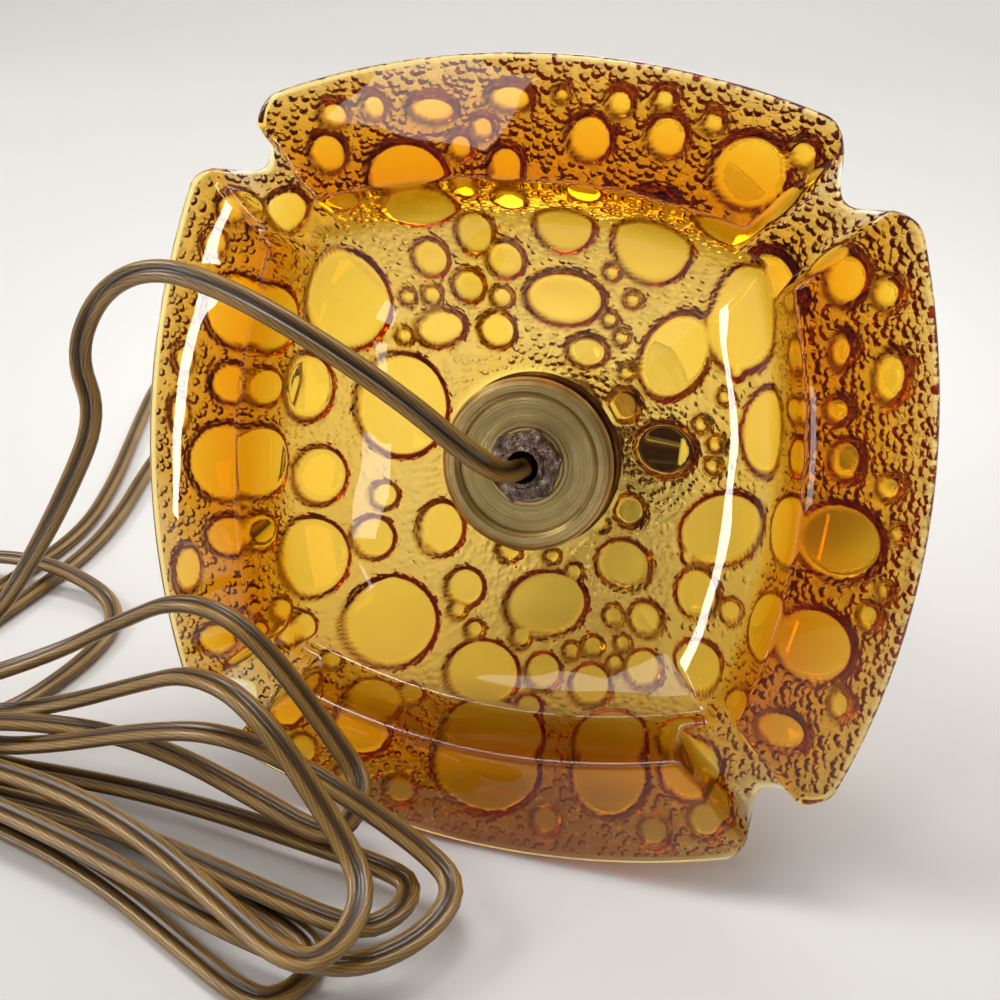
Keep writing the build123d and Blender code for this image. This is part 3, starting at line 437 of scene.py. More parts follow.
def tip_places(straight, radius):
    """Gives the four points that hold a round tip."""
    corner = radius / math.cos(math.radians(22.5))
    return [(straight + corner * math.cos(math.radians(turn)), corner * math.sin(math.radians(turn)))
            for turn in (67.5, 22.5, -22.5, -67.5)]


def lobe(heading, reach, radius, belly_out, belly_back, lift, late, tilt, bend, start, tip, end, sag):
    """Gives the points of one loop on the right of the waist."""
    straight = reach - radius
    places = []
    for step in range(1, LOBE_STEPS):
        part = step / LOBE_STEPS
        side = WAIST_HALF + (radius - WAIST_HALF) * part + belly_out * math.sin(math.pi * part)
        rise = (tip + tilt - start) * part + lift * math.sin(math.pi * part**late)
        places.append((straight * part, side, start + rise))
    for along, side in tip_places(straight, radius):
        places.append((along, side, tip + tilt * side / math.hypot(along - straight, side)))
    for step in range(LOBE_STEPS - 1, 0, -1):
        part = step / LOBE_STEPS
        side = WAIST_HALF + (radius - WAIST_HALF) * part + belly_back * math.sin(math.pi * part)
        places.append((straight * part, -side, end + (tip - tilt - end) * part**sag))
    return [from_waist(heading, along, side + bend * (along / reach) ** 2, height) for along, side, height in places]


def left_turn(reach, start, end):
    """Gives the points of one turn on the left of the waist."""
    straight = reach - TURN_RADIUS
    parts = [step / TURN_STEPS for step in range(1, TURN_STEPS)]
    places = [(straight * p, WAIST_HALF + (TURN_RADIUS - WAIST_HALF) * p) for p in parts]
    places += tip_places(straight, TURN_RADIUS)
    places += [(straight * p, -WAIST_HALF - (TURN_RADIUS - WAIST_HALF) * p) for p in reversed(parts)]
    fall = (end - start) / (len(places) - 1)
    return [from_waist(TURN_HEADING, along, side, start + fall * count) for count, (along, side) in enumerate(places)]


def cord_route():
    """Gives the whole cord's route points in metres, from the nipple to the plug."""
    route = [EXIT, EXIT - AXIS * 12.5] + [Vector(p) for p in FREE_POINTS]
    route.append(route[-1] + (route[-1] - route[-2]).normalized() * ENTRY_RUN)
    route += [Vector(p) for p in ENTRY_POINTS]
    for count, loop in enumerate(LOOPS):
        route += lobe(*loop)[1:] if count == 0 else lobe(*loop)
        if count + 1 < len(LOOPS):
            route += left_turn(TURN_REACH - TURN_STEP * count, loop[-2], LOOPS[count + 1][-4])
    route.append(route[-1] + (route[-1] - route[-2]).normalized() * TAIL_RUN)
    route += [Vector((*p, LYING)) for p in LYING_POINTS] + [Vector(p) for p in RISING_POINTS]
    return [point * MM for point in route]


def spline_line(points, name, resolution=12):
    """Gives the points along a smooth NURBS spline through the route."""
    curve = bpy.data.curves.new(name, "CURVE")
    curve.dimensions = "3D"
    spline = curve.splines.new("NURBS")
    spline.points.add(len(points) - 1)
    for place, point in zip(spline.points, points):
        place.co = (*point, 1.0)
    spline.order_u = 3
    spline.use_endpoint_u = True
    spline.resolution_u = resolution
    holder = bpy.data.objects.new(name, curve)
    bpy.context.scene.collection.objects.link(holder)
    line = bpy.data.meshes.new_from_object(holder)
    places = [v.co.copy() for v in line.vertices]
    bpy.data.objects.remove(holder)
    bpy.data.curves.remove(curve)
    bpy.data.meshes.remove(line)
    return places


def evenly(places, step):
    """Gives points a step apart along a line of points."""
    line = np.array([tuple(p) for p in places])
    runs = np.linalg.norm(np.diff(line, axis=0), axis=1)
    keep = np.concatenate([[True], runs > 1e-7])
    line = line[keep]
    far = np.concatenate([[0], np.cumsum(np.linalg.norm(np.diff(line, axis=0), axis=1))])
    marks = np.linspace(0, far[-1], int(round(far[-1] / step)) + 1)
    return np.stack([np.interp(marks, far, line[:, axis]) for axis in range(3)], axis=1), marks


def cord_tree(finish):
    """Builds the node tree that runs the cord's section along its line."""
    tree = bpy.data.node_groups.new("flat_twin_cord", "GeometryNodeTree")
    face = tree.interface
    face.new_socket("Geometry", in_out="INPUT", socket_type="NodeSocketGeometry")
    face.new_socket("Width", in_out="INPUT", socket_type="NodeSocketFloat")
    face.new_socket("Thickness", in_out="INPUT", socket_type="NodeSocketFloat")
    face.new_socket("Section Points", in_out="INPUT", socket_type="NodeSocketInt")
    face.new_socket("Geometry", in_out="OUTPUT", socket_type="NodeSocketGeometry")
    inlet = node(tree, "NodeGroupInput").outputs
    lies = node(tree, "GeometryNodeInputNamedAttribute", {"Name": "lies"}, data_type="FLOAT_VECTOR").outputs[0]
    line = node(tree, "GeometryNodeMeshToCurve", {"Mesh": inlet["Geometry"]}).outputs[0]
    held = node(tree, "GeometryNodeSetCurveNormal", {"Curve": line}, mode="FREE")
    tree.links.new(lies, held.inputs["Normal"])
    run = node(tree, "GeometryNodeSplineParameter")
    measured = node(
        tree, "GeometryNodeStoreNamedAttribute",
        {"Geometry": held.outputs[0], "Name": "along", "Value": run.outputs["Length"]},
        data_type="FLOAT", domain="POINT",
    ).outputs[0]
    # the section starts as a unit circle and is pressed into two ribs with a groove between them
    circle = node(tree, "GeometryNodeCurvePrimitiveCircle", {"Resolution": inlet["Section Points"], "Radius": 1.0})
    spot = node(tree, "ShaderNodeSeparateXYZ", {0: node(tree, "GeometryNodeInputPosition").outputs[0]})
    angle = maths(tree, "ARCTAN2", spot.outputs["Y"], spot.outputs["X"])
    wide = maths(tree, "COSINE", angle)
    size_of = maths(tree, "ABSOLUTE", wide)
    # distance from the nearer rib's middle
    from_rib = maths(tree, "SUBTRACT", size_of, RIB_MIDDLE)
    squared = maths(tree, "MULTIPLY", from_rib, RIB_NARROWNESS)
    squared = maths(tree, "MULTIPLY", squared, squared)
    tall = maths(tree, "SUBTRACT", 1.0, squared)
    tall = maths(tree, "MAXIMUM", tall, 0.0)
    tall = maths(tree, "SQRT", tall)
    sign = maths(tree, "SIGN", spot.outputs["Y"])
    rise = maths(tree, "MULTIPLY", tall, sign)
    half = maths(tree, "MULTIPLY", inlet["Width"], 0.5)
    thin = maths(tree, "MULTIPLY", inlet["Thickness"], 0.5)
    place = node(
        tree, "ShaderNodeCombineXYZ",
        {"X": maths(tree, "MULTIPLY", rise, thin), "Y": maths(tree, "MULTIPLY", wide, half)},
    ).outputs[0]
    pressed = node(
        tree, "GeometryNodeSetPosition", {"Geometry": circle.outputs["Curve"], "Position": place}
    ).outputs[0]
    round_it = node(tree, "GeometryNodeStoreNamedAttribute", {"Geometry": pressed, "Name": "across"},
                    data_type="FLOAT", domain="POINT")
    tree.links.new(node(tree, "GeometryNodeSplineParameter").outputs["Factor"], round_it.inputs["Value"])
    cored = node(tree, "GeometryNodeStoreNamedAttribute", {"Geometry": round_it.outputs[0], "Name": "core"},
                 data_type="FLOAT", domain="POINT")
    tree.links.new(tall, cored.inputs["Value"])
    swept = node(tree, "GeometryNodeCurveToMesh",
                 {"Curve": measured, "Profile Curve": cored.outputs[0], "Fill Caps": True}).outputs[0]
    smooth = node(tree, "GeometryNodeSetShadeSmooth", {"Geometry": swept, "Shade Smooth": True}).outputs[0]
    real = node(tree, "GeometryNodeRealizeInstances", {"Geometry": smooth}).outputs[0]
    coated = node(tree, "GeometryNodeSetMaterial", {"Geometry": real, "Material": finish}).outputs[0]
    node(tree, "NodeGroupOutput", {"Geometry": coated})
    return tree


def grown(base, tree, values):
    """Puts a mesh through a node tree and gives the plain mesh that comes out."""
    holder = bpy.data.objects.new("holder", base)
    bpy.context.scene.collection.objects.link(holder)
    modifier = holder.modifiers.new("grow", "NODES")
    modifier.node_group = tree
    for item in tree.interface.items_tree:
        if item.item_type == "SOCKET" and item.in_out == "INPUT" and item.name in values:
            modifier[item.identifier] = values[item.name]
    holder.update_tag()
    bpy.context.view_layer.update()
    result = bpy.data.meshes.new_from_object(holder.evaluated_get(bpy.context.evaluated_depsgraph_get()))
    holder.modifiers.remove(modifier)
    bpy.data.objects.remove(holder)
    return result


# ---------------------------------------------------------------- glass foot

# Underside and far face of the foot: distance outward from the axis, height above the ridge, in millimetres
UNDERSIDE = [
    (0, 27), (20.5, 27), (28, 26), (34, 24.6), (40, 22.7), (45, 20.7), (50, 18.3), (54, 16.1), (57, 14),
    (62.3, 0), (64, 0), (70, 0.7), (76, 1.5), (82, 2.4), (87.7, 3.6), (110, 8.0),
]
FAR_FACE = [(0, 33), (22, 33), (45, 27.5), (60, 21), (87.7, 6.4), (110, -5.3)]
# The cord channel at each corner: half its width, the height of its roof, and where it starts
OUTLET_HALF, OUTLET_CEILING, OUTLET_START = 6.5, 10.0, 63.3

# Long clear bosses: place (right, up), half width, half height, turn in degrees
LONG_BOSSES = [
    (-48, 35, 10.5, 12.5, 0), (-34, 10, 11.5, 13, 0), (-32, -45, 12.5, 11.5, 0), (-54, -30, 9.5, 10.5, 0),
    (-57, 13, 6.5, 8.5, 0), (-53, -9, 6.5, 7.5, 0), (-29, 62, 9.5, 7.5, 0), (5, 57, 7, 6.5, 0),
    (48, 40, 9.5, 13.5, 10), (56, 15, 6.5, 10, 0), (48, -9, 11, 8, -35), (5, 40, 9.5, 6.5, 0), (32, 29, 8, 11, 25),
    (7, -35, 10.5, 8, -20), (-6, -54, 9.5, 8, 0), (25, -22, 7, 6, 0), (44, -25, 5.5, 6, 0), (-22, -20, 6, 7, 0),
    (32, 7, 7.5, 6.5, 0), (11, 28, 5, 4, 0), (0, -70, 13, 10.5, 0), (29, -66, 9, 9.5, 0), (47, -62, 7, 6, 0),
    (-32, -67, 7.5, 6, 0), (-60, 53, 4.5, 6.5, 45), (44, 67, 8, 7.5, 0), (-16, 54, 4.5, 5.5, 0),
    (-25, 30, 6.5, 4.5, -20), (-45, 74, 3.5, 3, 0), (-23, 76, 5.5, 3, 0), (-6, 79, 5, 3, 0), (65, 48, 4.5, 5.5, 0),
    (73, 46, 3, 3.5, 0), (76, 30, 3.5, 5.5, 0), (66, 34, 2.5, 4, 0), (70, 12, 3.5, 4.5, 0), (71, -5, 9, 8.5, 0),
    (65, -48, 6, 4.5, 0), (79, -19, 2.5, 3, 0), (76, -39, 2.5, 3.5, 0), (-20, -79, 4, 3.5, 0),
    (-33, -78, 3.5, 3, 0), (-80, 18, 2.5, 3.5, 0), (-81, 5, 2.5, 4.5, 0), (-78, -33, 3.5, 6, 0),
    (-70, -50, 5, 4, 0), (-68, 30, 7.5, 8.5, 0), (-70, -6, 9, 9.5, 0),
]
# Round bosses: place (right, up), radius
ROUND_BOSSES = [
    (25, 54, 9), (47, -42, 6.5), (21, 16, 4), (-51, -65, 4.5), (-27, 47, 4.5), (-9, 48, 4.5), (-18, 41, 4),
    (-11, 31, 4.5), (-39, -24, 5.5), (-37, -13, 3.5), (-14, -34, 5), (32, -34, 4.5), (33, -46, 4.5), (9, -51, 4.5),
    (21, -52, 5), (7, -60, 3.5), (-23, -63, 3.5), (-55, -48, 4), (25, -9, 4), (53, -27, 3), (-36, 76, 3),
    (-12, 73, 2.8), (-47, 66, 4.5), (-17, 69, 3), (-7, 66, 4), (11, 72, 5), (27, 73, 4.5), (17, 79, 3), (54, 71, 3),
    (67, 22, 3), (79, 8, 2.8), (69, -28, 8.5), (52, -71, 4), (41, -76, 3.5), (16, -79, 3.5), (-46, -74, 4),
    (-73, 45, 3), (-69, 53, 3.5), (-62, -44, 3), (-69, 13, 5), (-69, -24, 5), (-27, 38, 2.5), (-10, 39, 2.7),
    (-33, 37, 2.1), (-34, 27, 2.1), (-10, -44, 2.4), (2, -44, 2.6), (24, -35, 2.6), (20, -43, 2.6), (-4, -23, 3.2),
    (-45, -58, 2.9), (21, 41, 2.0), (16, 47, 2.0), (16, 36, 2.0), (19, 32, 2.0), (21, 24, 2.0), (47, 27, 1.9),
    (45, 21, 1.9), (40, 14, 2.0), (44, 10, 2.0), (44, 5, 2.0), (18, -13, 2.1), (7, -23, 2.2), (13, -26, 2.2),
    (41, -17, 2.0), (27, -41, 2.1), (15, -45, 2.1), (26, -46, 2.1), (-15, -40, 2.2), (36, 76, 2.5), (26, 80, 2.5),
    (5, 80, 1.8), (81, -13, 1.6), (82, -1, 1.8),
]
# Points round the foot, up to where its rings are round, and from where they are square
ANGLES, ROUND_TO, SQUARE_FROM = 480, 20.0, 52.0
# The width of a boss's slope, and how far the rim is rounded
EDGE_WIDTH, RIM_ROUNDING = 2.2, 1.5
# How softly a notch's two sides meet, how softly it meets the rim, and a least share, so that none is zero
NOTCH_BLEND, CORNER_BLEND, LEAST_SHARE = 0.058, 7.5, 1e-6
# The ring from which all are square, the ring of the ridge, and how far the two faces' folds are rounded
SQUARE_RING, RIDGE_RING, NEAR_ROUNDING, FAR_ROUNDING = 50.0, 64.0, 0.8, 1.2
# The stipple starts outside the seat, and is stronger outside the well
STIPPLE_FROM, STIPPLE_FADE, PANEL_STIPPLE, FLAP_FROM, FLAP_FADE = 22.0, 1.5, 0.65, 58.0, 8.0


def smooth_step(value):
    """Gives a soft step from 0 to 1."""
    value = np.clip(value, 0, 1)
    return value * value * (3 - 2 * value)


def soft_least(one, other, blend):
    """Gives the lesser of two values, blended over where they cross."""
    near = np.clip(blend - np.abs(one - other), 0, None) / blend
    return np.minimum(one, other) - near * near * blend / 4


def reach_at(angle, outward, bow_offset):
    """Gives the distance from the axis at which a direction reaches an outward distance."""
    folded = np.abs((angle + math.pi / 4) % (math.pi / 2) - math.pi / 4)
    across = bow_offset * np.cos(folded)
    return -across + np.sqrt(across**2 + (outward + bow_offset) ** 2 - bow_offset**2)


def outward_of(right, up, bow_offset):
    """Gives how far out places lie, measured square to the nearest bowed side, and round near the axis."""
    square = np.maximum(np.hypot(right, np.abs(up) + bow_offset) - bow_offset,
                        np.hypot(up, np.abs(right) + bow_offset) - bow_offset)
    reach = np.hypot(right, up)
    return reach + (square - reach) * smooth_step((reach - ROUND_TO) / (SQUARE_FROM - ROUND_TO))


def profile_height(profile, outward, rounding):
    """Gives a profile's height, with its creases rounded."""
    outs, heights = zip(*profile)
    shifts = np.linspace(-rounding, rounding, 7)
    return np.mean([np.interp(outward + shift, outs, heights) for shift in shifts], axis=0)


def boss_mask(right, up):
    """Gives 1 on the clear bosses and 0 between them, with a short slope."""
    mask = np.zeros_like(right)
    rows = LONG_BOSSES + [(x, y, r, r, 0) for x, y, r in ROUND_BOSSES]
    for x, y, wide, tall, turn in rows:
        angle = math.radians(turn)
        along = (right - x) * math.cos(angle) - (up - y) * math.sin(angle)
        over = (right - x) * math.sin(angle) + (up - y) * math.cos(angle)
        inside = (1 - np.hypot(along / wide, over / tall)) * min(wide, tall)
        mask = np.maximum(mask, smooth_step(inside / EDGE_WIDTH + 0.5))
    return mask


def underside_height(right, up, bow_offset):
    """Gives the height of the foot's underside, with a cord channel at each corner."""
    height = profile_height(UNDERSIDE, outward_of(right, up, bow_offset), NEAR_ROUNDING)
    beside = np.abs(np.abs(right) - np.abs(up)) / math.sqrt(2)
    along = (np.abs(right) + np.abs(up)) / math.sqrt(2)
    channel = smooth_step((OUTLET_HALF - beside) / 1.2 + 0.5) * smooth_step((along - OUTLET_START) / 3)
    return height + channel * np.clip(OUTLET_CEILING - height, 0, None)


def foot_mesh(sizes):
    """Builds the foot as rings of points: underside outward, round the rim, and far face inward."""
    rim, bow, notch, hole = sizes.rim / MM, sizes.bow / MM, sizes.notch / MM, sizes.hole / MM
    bow_offset = bow - rim
    angle = np.arange(ANGLES) * 2 * math.pi / ANGLES
    least = np.maximum(soft_least(np.abs(np.cos(angle)), np.abs(np.sin(angle)), NOTCH_BLEND), LEAST_SHARE)
    edge = soft_least(reach_at(angle, rim, bow_offset), notch / least, CORNER_BLEND)

    def ring(outward):
        if outward < SQUARE_RING:
            share = smooth_step((outward - ROUND_TO) / (SQUARE_RING - ROUND_TO))
            return outward + (reach_at(angle, outward, bow_offset) - outward) * share
        if outward <= RIDGE_RING:
            return reach_at(angle, outward, bow_offset)
        share = (outward - RIDGE_RING) / (rim - RIDGE_RING)
        inner = reach_at(angle, RIDGE_RING, bow_offset)
        return inner + (edge - RIM_ROUNDING - inner) * share

    near_rings = [hole, 8, 12, 18, 23, 24, 25, 28, 29, *np.arange(31, 57, 2.0), 56.4, 57, 57.6, 58.4, 59.2, 60, 60.8,
                  61.4, 61.9, 62.3, 62.7, 63.2, 63.7, 64.2, 64.8, 65.6, 67, *np.arange(69, rim, 2.2), rim]
    far_rings = np.arange(rim, hole, -0.8).tolist() + [hole]
    layers, stipple, wall = [], [], []
    for outward in near_rings:
        reach = ring(outward)
        right, up = reach * np.cos(angle), reach * np.sin(angle)
        layers.append((right, up, underside_height(right, up, bow_offset)))
        stipple.append(np.zeros(ANGLES))
        wall.append(np.zeros(ANGLES))
    last = ring(rim)
    right, up = last * np.cos(angle), last * np.sin(angle)
    low = underside_height(right, up, bow_offset)
    high = profile_height(FAR_FACE, outward_of(right, up, bow_offset), FAR_ROUNDING)
    for turn in np.radians([-68, -45, -22, 0, 22, 45, 68]):
        reach = last + RIM_ROUNDING * math.cos(turn)
        lift = math.copysign(abs(math.sin(turn)) ** 0.8, turn)
        layers.append((reach * np.cos(angle), reach * np.sin(angle), (low + high) / 2 + (high - low) / 2 * lift))
        stipple.append(np.zeros(ANGLES))
        wall.append(np.zeros(ANGLES))
    for outward in far_rings:
        reach = ring(outward)
        right, up = reach * np.cos(angle), reach * np.sin(angle)
        mask = boss_mask(right, up)
        out = outward_of(right, up, bow_offset)
        fade = smooth_step((out - STIPPLE_FROM) / STIPPLE_FADE) * smooth_step((rim - out) / 2 + 0.2)
        layers.append((right, up, profile_height(FAR_FACE, out, FAR_ROUNDING) + sizes.boss_rise / MM * mask * fade))
        # the stipple roughens the far face and also darkens the glass's colour a little as painted shade; the boss
        # walls are darkened as painted shade
        stronger = (1 - PANEL_STIPPLE) * smooth_step((out - FLAP_FROM) / FLAP_FADE)
        stipple.append((1 - mask) * fade * (PANEL_STIPPLE + stronger))
        wall.append(smooth_step(4 * mask * (1 - mask)) * fade)
    world = in_frame([np.stack(layer, axis=1) for layer in layers])
    count = len(layers)
    first = np.arange(count)[:, None] * ANGLES + np.arange(ANGLES)[None, :]
    beside = np.roll(first, -1, axis=1)
    after, after_beside = np.roll(first, -1, axis=0), np.roll(beside, -1, axis=0)
    faces = np.stack([first, beside, after_beside, after], axis=2).reshape(-1, 4)
    mesh = bpy.data.meshes.new("glass_foot_pressed")
    mesh.from_pydata(world.tolist(), [], faces.tolist())
    for name, values in (("stipple", stipple), ("wall", wall)):
        carried = mesh.attributes.new(name, "FLOAT", "POINT")
        carried.data.foreach_set("value", np.concatenate(values).astype(np.float32))
    outward_faces(mesh)
    return mesh


def in_frame(layers):
    """Gives the places in the frame, in metres, of points given as right, up and height in millimetres."""
    flat = np.array(layers).reshape(-1, 3) * MM
    right, up, axis = (np.array(way) for way in (RIGHT, UP, AXIS))
    return np.array(PLACE) + flat[:, :1] * right + flat[:, 1:2] * up + flat[:, 2:] * axis


def outward_faces(mesh):
    """Turns a closed mesh's faces outward and makes them smooth."""
    shape = bmesh.new()
    shape.from_mesh(mesh)
    bmesh.ops.recalc_face_normals(shape, faces=shape.faces)
    if shape.calc_volume(signed=True) < 0:
        bmesh.ops.reverse_faces(shape, faces=shape.faces)
    for face in shape.faces:
        face.smooth = True
    shape.to_mesh(mesh)
    shape.free()


# ---------------------------------------------------------------- operators


# The camera's place, where it looks, and its right side, fitted to the photograph
CAMERA_PLACE = (0.0594, -0.26789, 0.20228)
CAMERA_AHEAD = Vector((-0.2517, 0.8149, -0.5220))
CAMERA_SIDE = Vector((0.9586, 0.2841, -0.0186))


class LAMP_OT_camera(bpy.types.Operator):
    """Places the camera in front of the lying lamp, where it sees the underside of the foot"""

    bl_idname = "accent_lamp.camera"
    bl_label = "Camera"

    def execute(self, context):
        data = bpy.data.cameras.new("camera")
        data.sensor_width, data.lens = 36.0, context.scene.accent_lamp_stage.lens
        data.clip_start, data.clip_end = 0.01, 20.0
        camera = bpy.data.objects.new("camera", data)
        context.scene.collection.objects.link(camera)
        ahead = CAMERA_AHEAD.normalized()
        side = (CAMERA_SIDE - ahead * CAMERA_SIDE.dot(ahead)).normalized()
        above = side.cross(ahead)
        turn = Matrix((side, above, -ahead)).transposed()
        camera.matrix_world = Matrix.Translation(CAMERA_PLACE) @ turn.to_4x4()
        context.scene.camera = camera
        return {"FINISHED"}


class LAMP_OT_cord(bpy.types.Operator):
    """Makes the flat twin cord, from the nipple through its loose loops to the plug"""

    bl_idname = "accent_lamp.cord"
    bl_label = "Flat Twin Cord"

    def execute(self, context):
        sizes = context.scene.accent_lamp_cord
        line, marks = evenly(spline_line(cord_route(), "cord_line"), sizes.step)
        heading = np.gradient(line, axis=0)
        heading /= np.linalg.norm(heading, axis=1)[:, None]
        # the free stretch turns its flat side forward, and the rest lies flat on what is under it
        free = smooth_step(1 - (marks - FREE_UNTIL) / FREE_FADE)[:, None]
        wanted = free * np.array(FREE_FACING) + (1 - free) * np.array([0.0, 0.0, 1.0])
        lies = wanted - heading * np.sum(wanted * heading, axis=1)[:, None]
        lies /= np.maximum(np.linalg.norm(lies, axis=1), 1e-6)[:, None]
        base = bpy.data.meshes.new("cord_base")
        base.from_pydata(line.tolist(), [(i, i + 1) for i in range(len(line) - 1)], [])
        held = base.attributes.new("lies", "FLOAT_VECTOR", "POINT")
        held.data.foreach_set("vector", lies.astype(np.float32).ravel())
        finish = clear_brown_vinyl()
        values = {"Width": sizes.width, "Thickness": sizes.thickness, "Section Points": 28}
        mesh = grown(base, cord_tree(finish), values)
        mesh.name = "flat_twin_cord"
        outward_faces(mesh)
        piece = finished(mesh, "flat_twin_cord", finish, "lamp",
                         ["cord_to_floor", "cord_hank", "cord_to_plug"])
        for name in ("cord_in_nipple", "hot_lead", "neutral_lead"):
            shade(name, moulded(name + "_vinyl", "#4A2C15", "#7B5229", 0.3, 0.006, coat=0.4))
        return {"FINISHED"}


class LAMP_OT_glass_foot(bpy.types.Operator):
    """Makes the pressed glass foot, with its well, ridge, flaps, channels, bosses and stipple"""

    bl_idname = "accent_lamp.glass_foot"
    bl_label = "Glass Foot"

    def execute(self, context):
        mesh = foot_mesh(context.scene.accent_lamp_glass)
        finished(mesh, "glass_foot_pressed", amber_glass(), "lamp", ["glass_foot"])
        return {"FINISHED"}


# Felt washers: points round, how much their edge wanders, and their section as (reach, height) in millimetres
FELT_POINTS, FELT_WANDER, FELT_SHRINK, FELT_SMOOTH = 240, 0.12, 0.05, 7
FELT_SECTION = [
    (5.9, 0.08), (10, 0.0), (16.2, 0.0), (16.75, 0.12), (16.9, 0.28), (16.75, 0.44), (16.2, 0.56), (10, 0.56),
    (5.9, 0.48),
]


class LAMP_OT_washers(bpy.types.Operator):
    """Makes the felt washers on both faces of the glass, with a soft uneven edge"""

    bl_idname = "accent_lamp.washers"
    bl_label = "Felt Washers"

    def execute(self, context):
        felt = wool_felt()
        for name, low, seed in (("lower_cushion_washer", 26.42, 1), ("upper_cushion_washer", 33.02, 2)):
            scatter = np.random.default_rng(seed)
            angle = np.arange(FELT_POINTS) * 2 * math.pi / FELT_POINTS
            three_rounds = np.tile(scatter.normal(0, 1, FELT_POINTS), 3)
            smoothed = np.convolve(three_rounds, np.ones(FELT_SMOOTH) / FELT_SMOOTH, "same")
            wander = smoothed[FELT_POINTS : 2 * FELT_POINTS]
            rows = []
            for reach, height in FELT_SECTION:
                out = reach + (wander * FELT_WANDER - FELT_SHRINK if reach > 16 else 0.0)
                heights = np.full(FELT_POINTS, low + height)
                rows.append(np.stack([out * np.cos(angle), out * np.sin(angle), heights], axis=1))
            world = in_frame(rows)
            first = np.arange(len(rows))[:, None] * FELT_POINTS + np.arange(FELT_POINTS)[None, :]
            beside = np.roll(first, -1, axis=1)
            faces = np.stack([first, beside, np.roll(beside, -1, axis=0), np.roll(first, -1, axis=0)], axis=2)
            mesh = bpy.data.meshes.new(name + "_felt")
            mesh.from_pydata(world.tolist(), [], faces.reshape(-1, 4).tolist())
            outward_faces(mesh)
            piece = finished(mesh, name + "_felt", felt, "lamp", [name])
        return {"FINISHED"}


class LAMP_OT_metal(bpy.types.Operator):
    """Finishes the check ring, locknut, nipple, neck and the holder's brass"""

    bl_idname = "accent_lamp.metal"
    bl_label = "Metal Parts"

    def execute(self, context):
        shade("lower_check_ring", spun_brass("darkened_spun_brass", "#B99F63", "#EBD08F", 0.0006, 0.6))
        brass = spun_brass("aged_spun_brass", "#5B3F1F", "#C59A55", 0.0012, 0.45)
        for name in ("vase_cap", "neck_spindle", "socket_cap", "socket_shell", "screw_shell"):
            shade(name, brass)
        steel = rusted_steel()
        for name in ("hex_locknut", "threaded_nipple"):
            shade(name, steel)
        shade("cap_set_screw", clean_metal("plated_steel", "#8D8A84", 0.35, 0.001))
        shade("terminal_screws", clean_metal("turned_brass", "#C7A258", 0.3, 0.001))
        shade("centre_contact", clean_metal("spring_brass", "#CBA75F", 0.28, 0.001))
        shade("switch_spindle", clean_metal("drawn_brass_rod", "#B9934C", 0.3, 0.001))
        return {"FINISHED"}


class LAMP_OT_holder(bpy.types.Operator):
    """Finishes the holder's liner, body, switch and knob"""

    bl_idname = "accent_lamp.holder"
    bl_label = "Lamp Holder"

    def execute(self, context):
        shade("fibre_liner", moulded("vulcanised_fibre", "#6E5B45", "#8F7A5C", 0.8, 0.004))
        phenolic = moulded("brown_phenolic", "#2A160E", "#4A2818", 0.28, 0.01, coat=0.5)
        for name in ("socket_body", "switch_rotor", "switch_knob"):
            shade(name, phenolic)
        return {"FINISHED"}


class LAMP_OT_bulb(bpy.types.Operator):
    """Finishes the bulb's glass, cap, contact and filament"""

    bl_idname = "accent_lamp.bulb"
    bl_label = "Bulb"

    def execute(self, context):
        glass = clear_bulb_glass()
        for name in ("bulb_globe", "bulb_stem"):
            shade(name, glass)
        shade("bulb_cap", clean_metal("rolled_aluminium", "#C9C8C4", 0.3, 0.001))
        shade("bulb_contact", clean_metal("tin_solder", "#A9A8A3", 0.4, 0.0008))
        shade("bulb_insulator", moulded("black_vitrite_glass", "#0D0D10", "#1A1A20", 0.12, 0.006, coat=0.3))
        shade("bulb_filament", clean_metal("tungsten_wire", "#5F5B57", 0.45, 0.0005))
        return {"FINISHED"}


class LAMP_OT_plug(bpy.types.Operator):
    """Finishes the plug's moulding and its blades"""

    bl_idname = "accent_lamp.plug"
    bl_label = "Plug"

    def execute(self, context):
        shade("plug_body", moulded("brown_moulded_vinyl", "#3A2413", "#53361D", 0.42, 0.008, coat=0.15))
        shade("plug_blades", clean_metal("stamped_brass", "#C6A25A", 0.3, 0.001))
        return {"FINISHED"}


# The floor's half width, where it starts to curve up behind, the curve's radius, and the height of its top
SWEEP_HALF, SWEEP_START, SWEEP_RADIUS, SWEEP_TOP = 3.0, 0.9, 0.9, 3.2


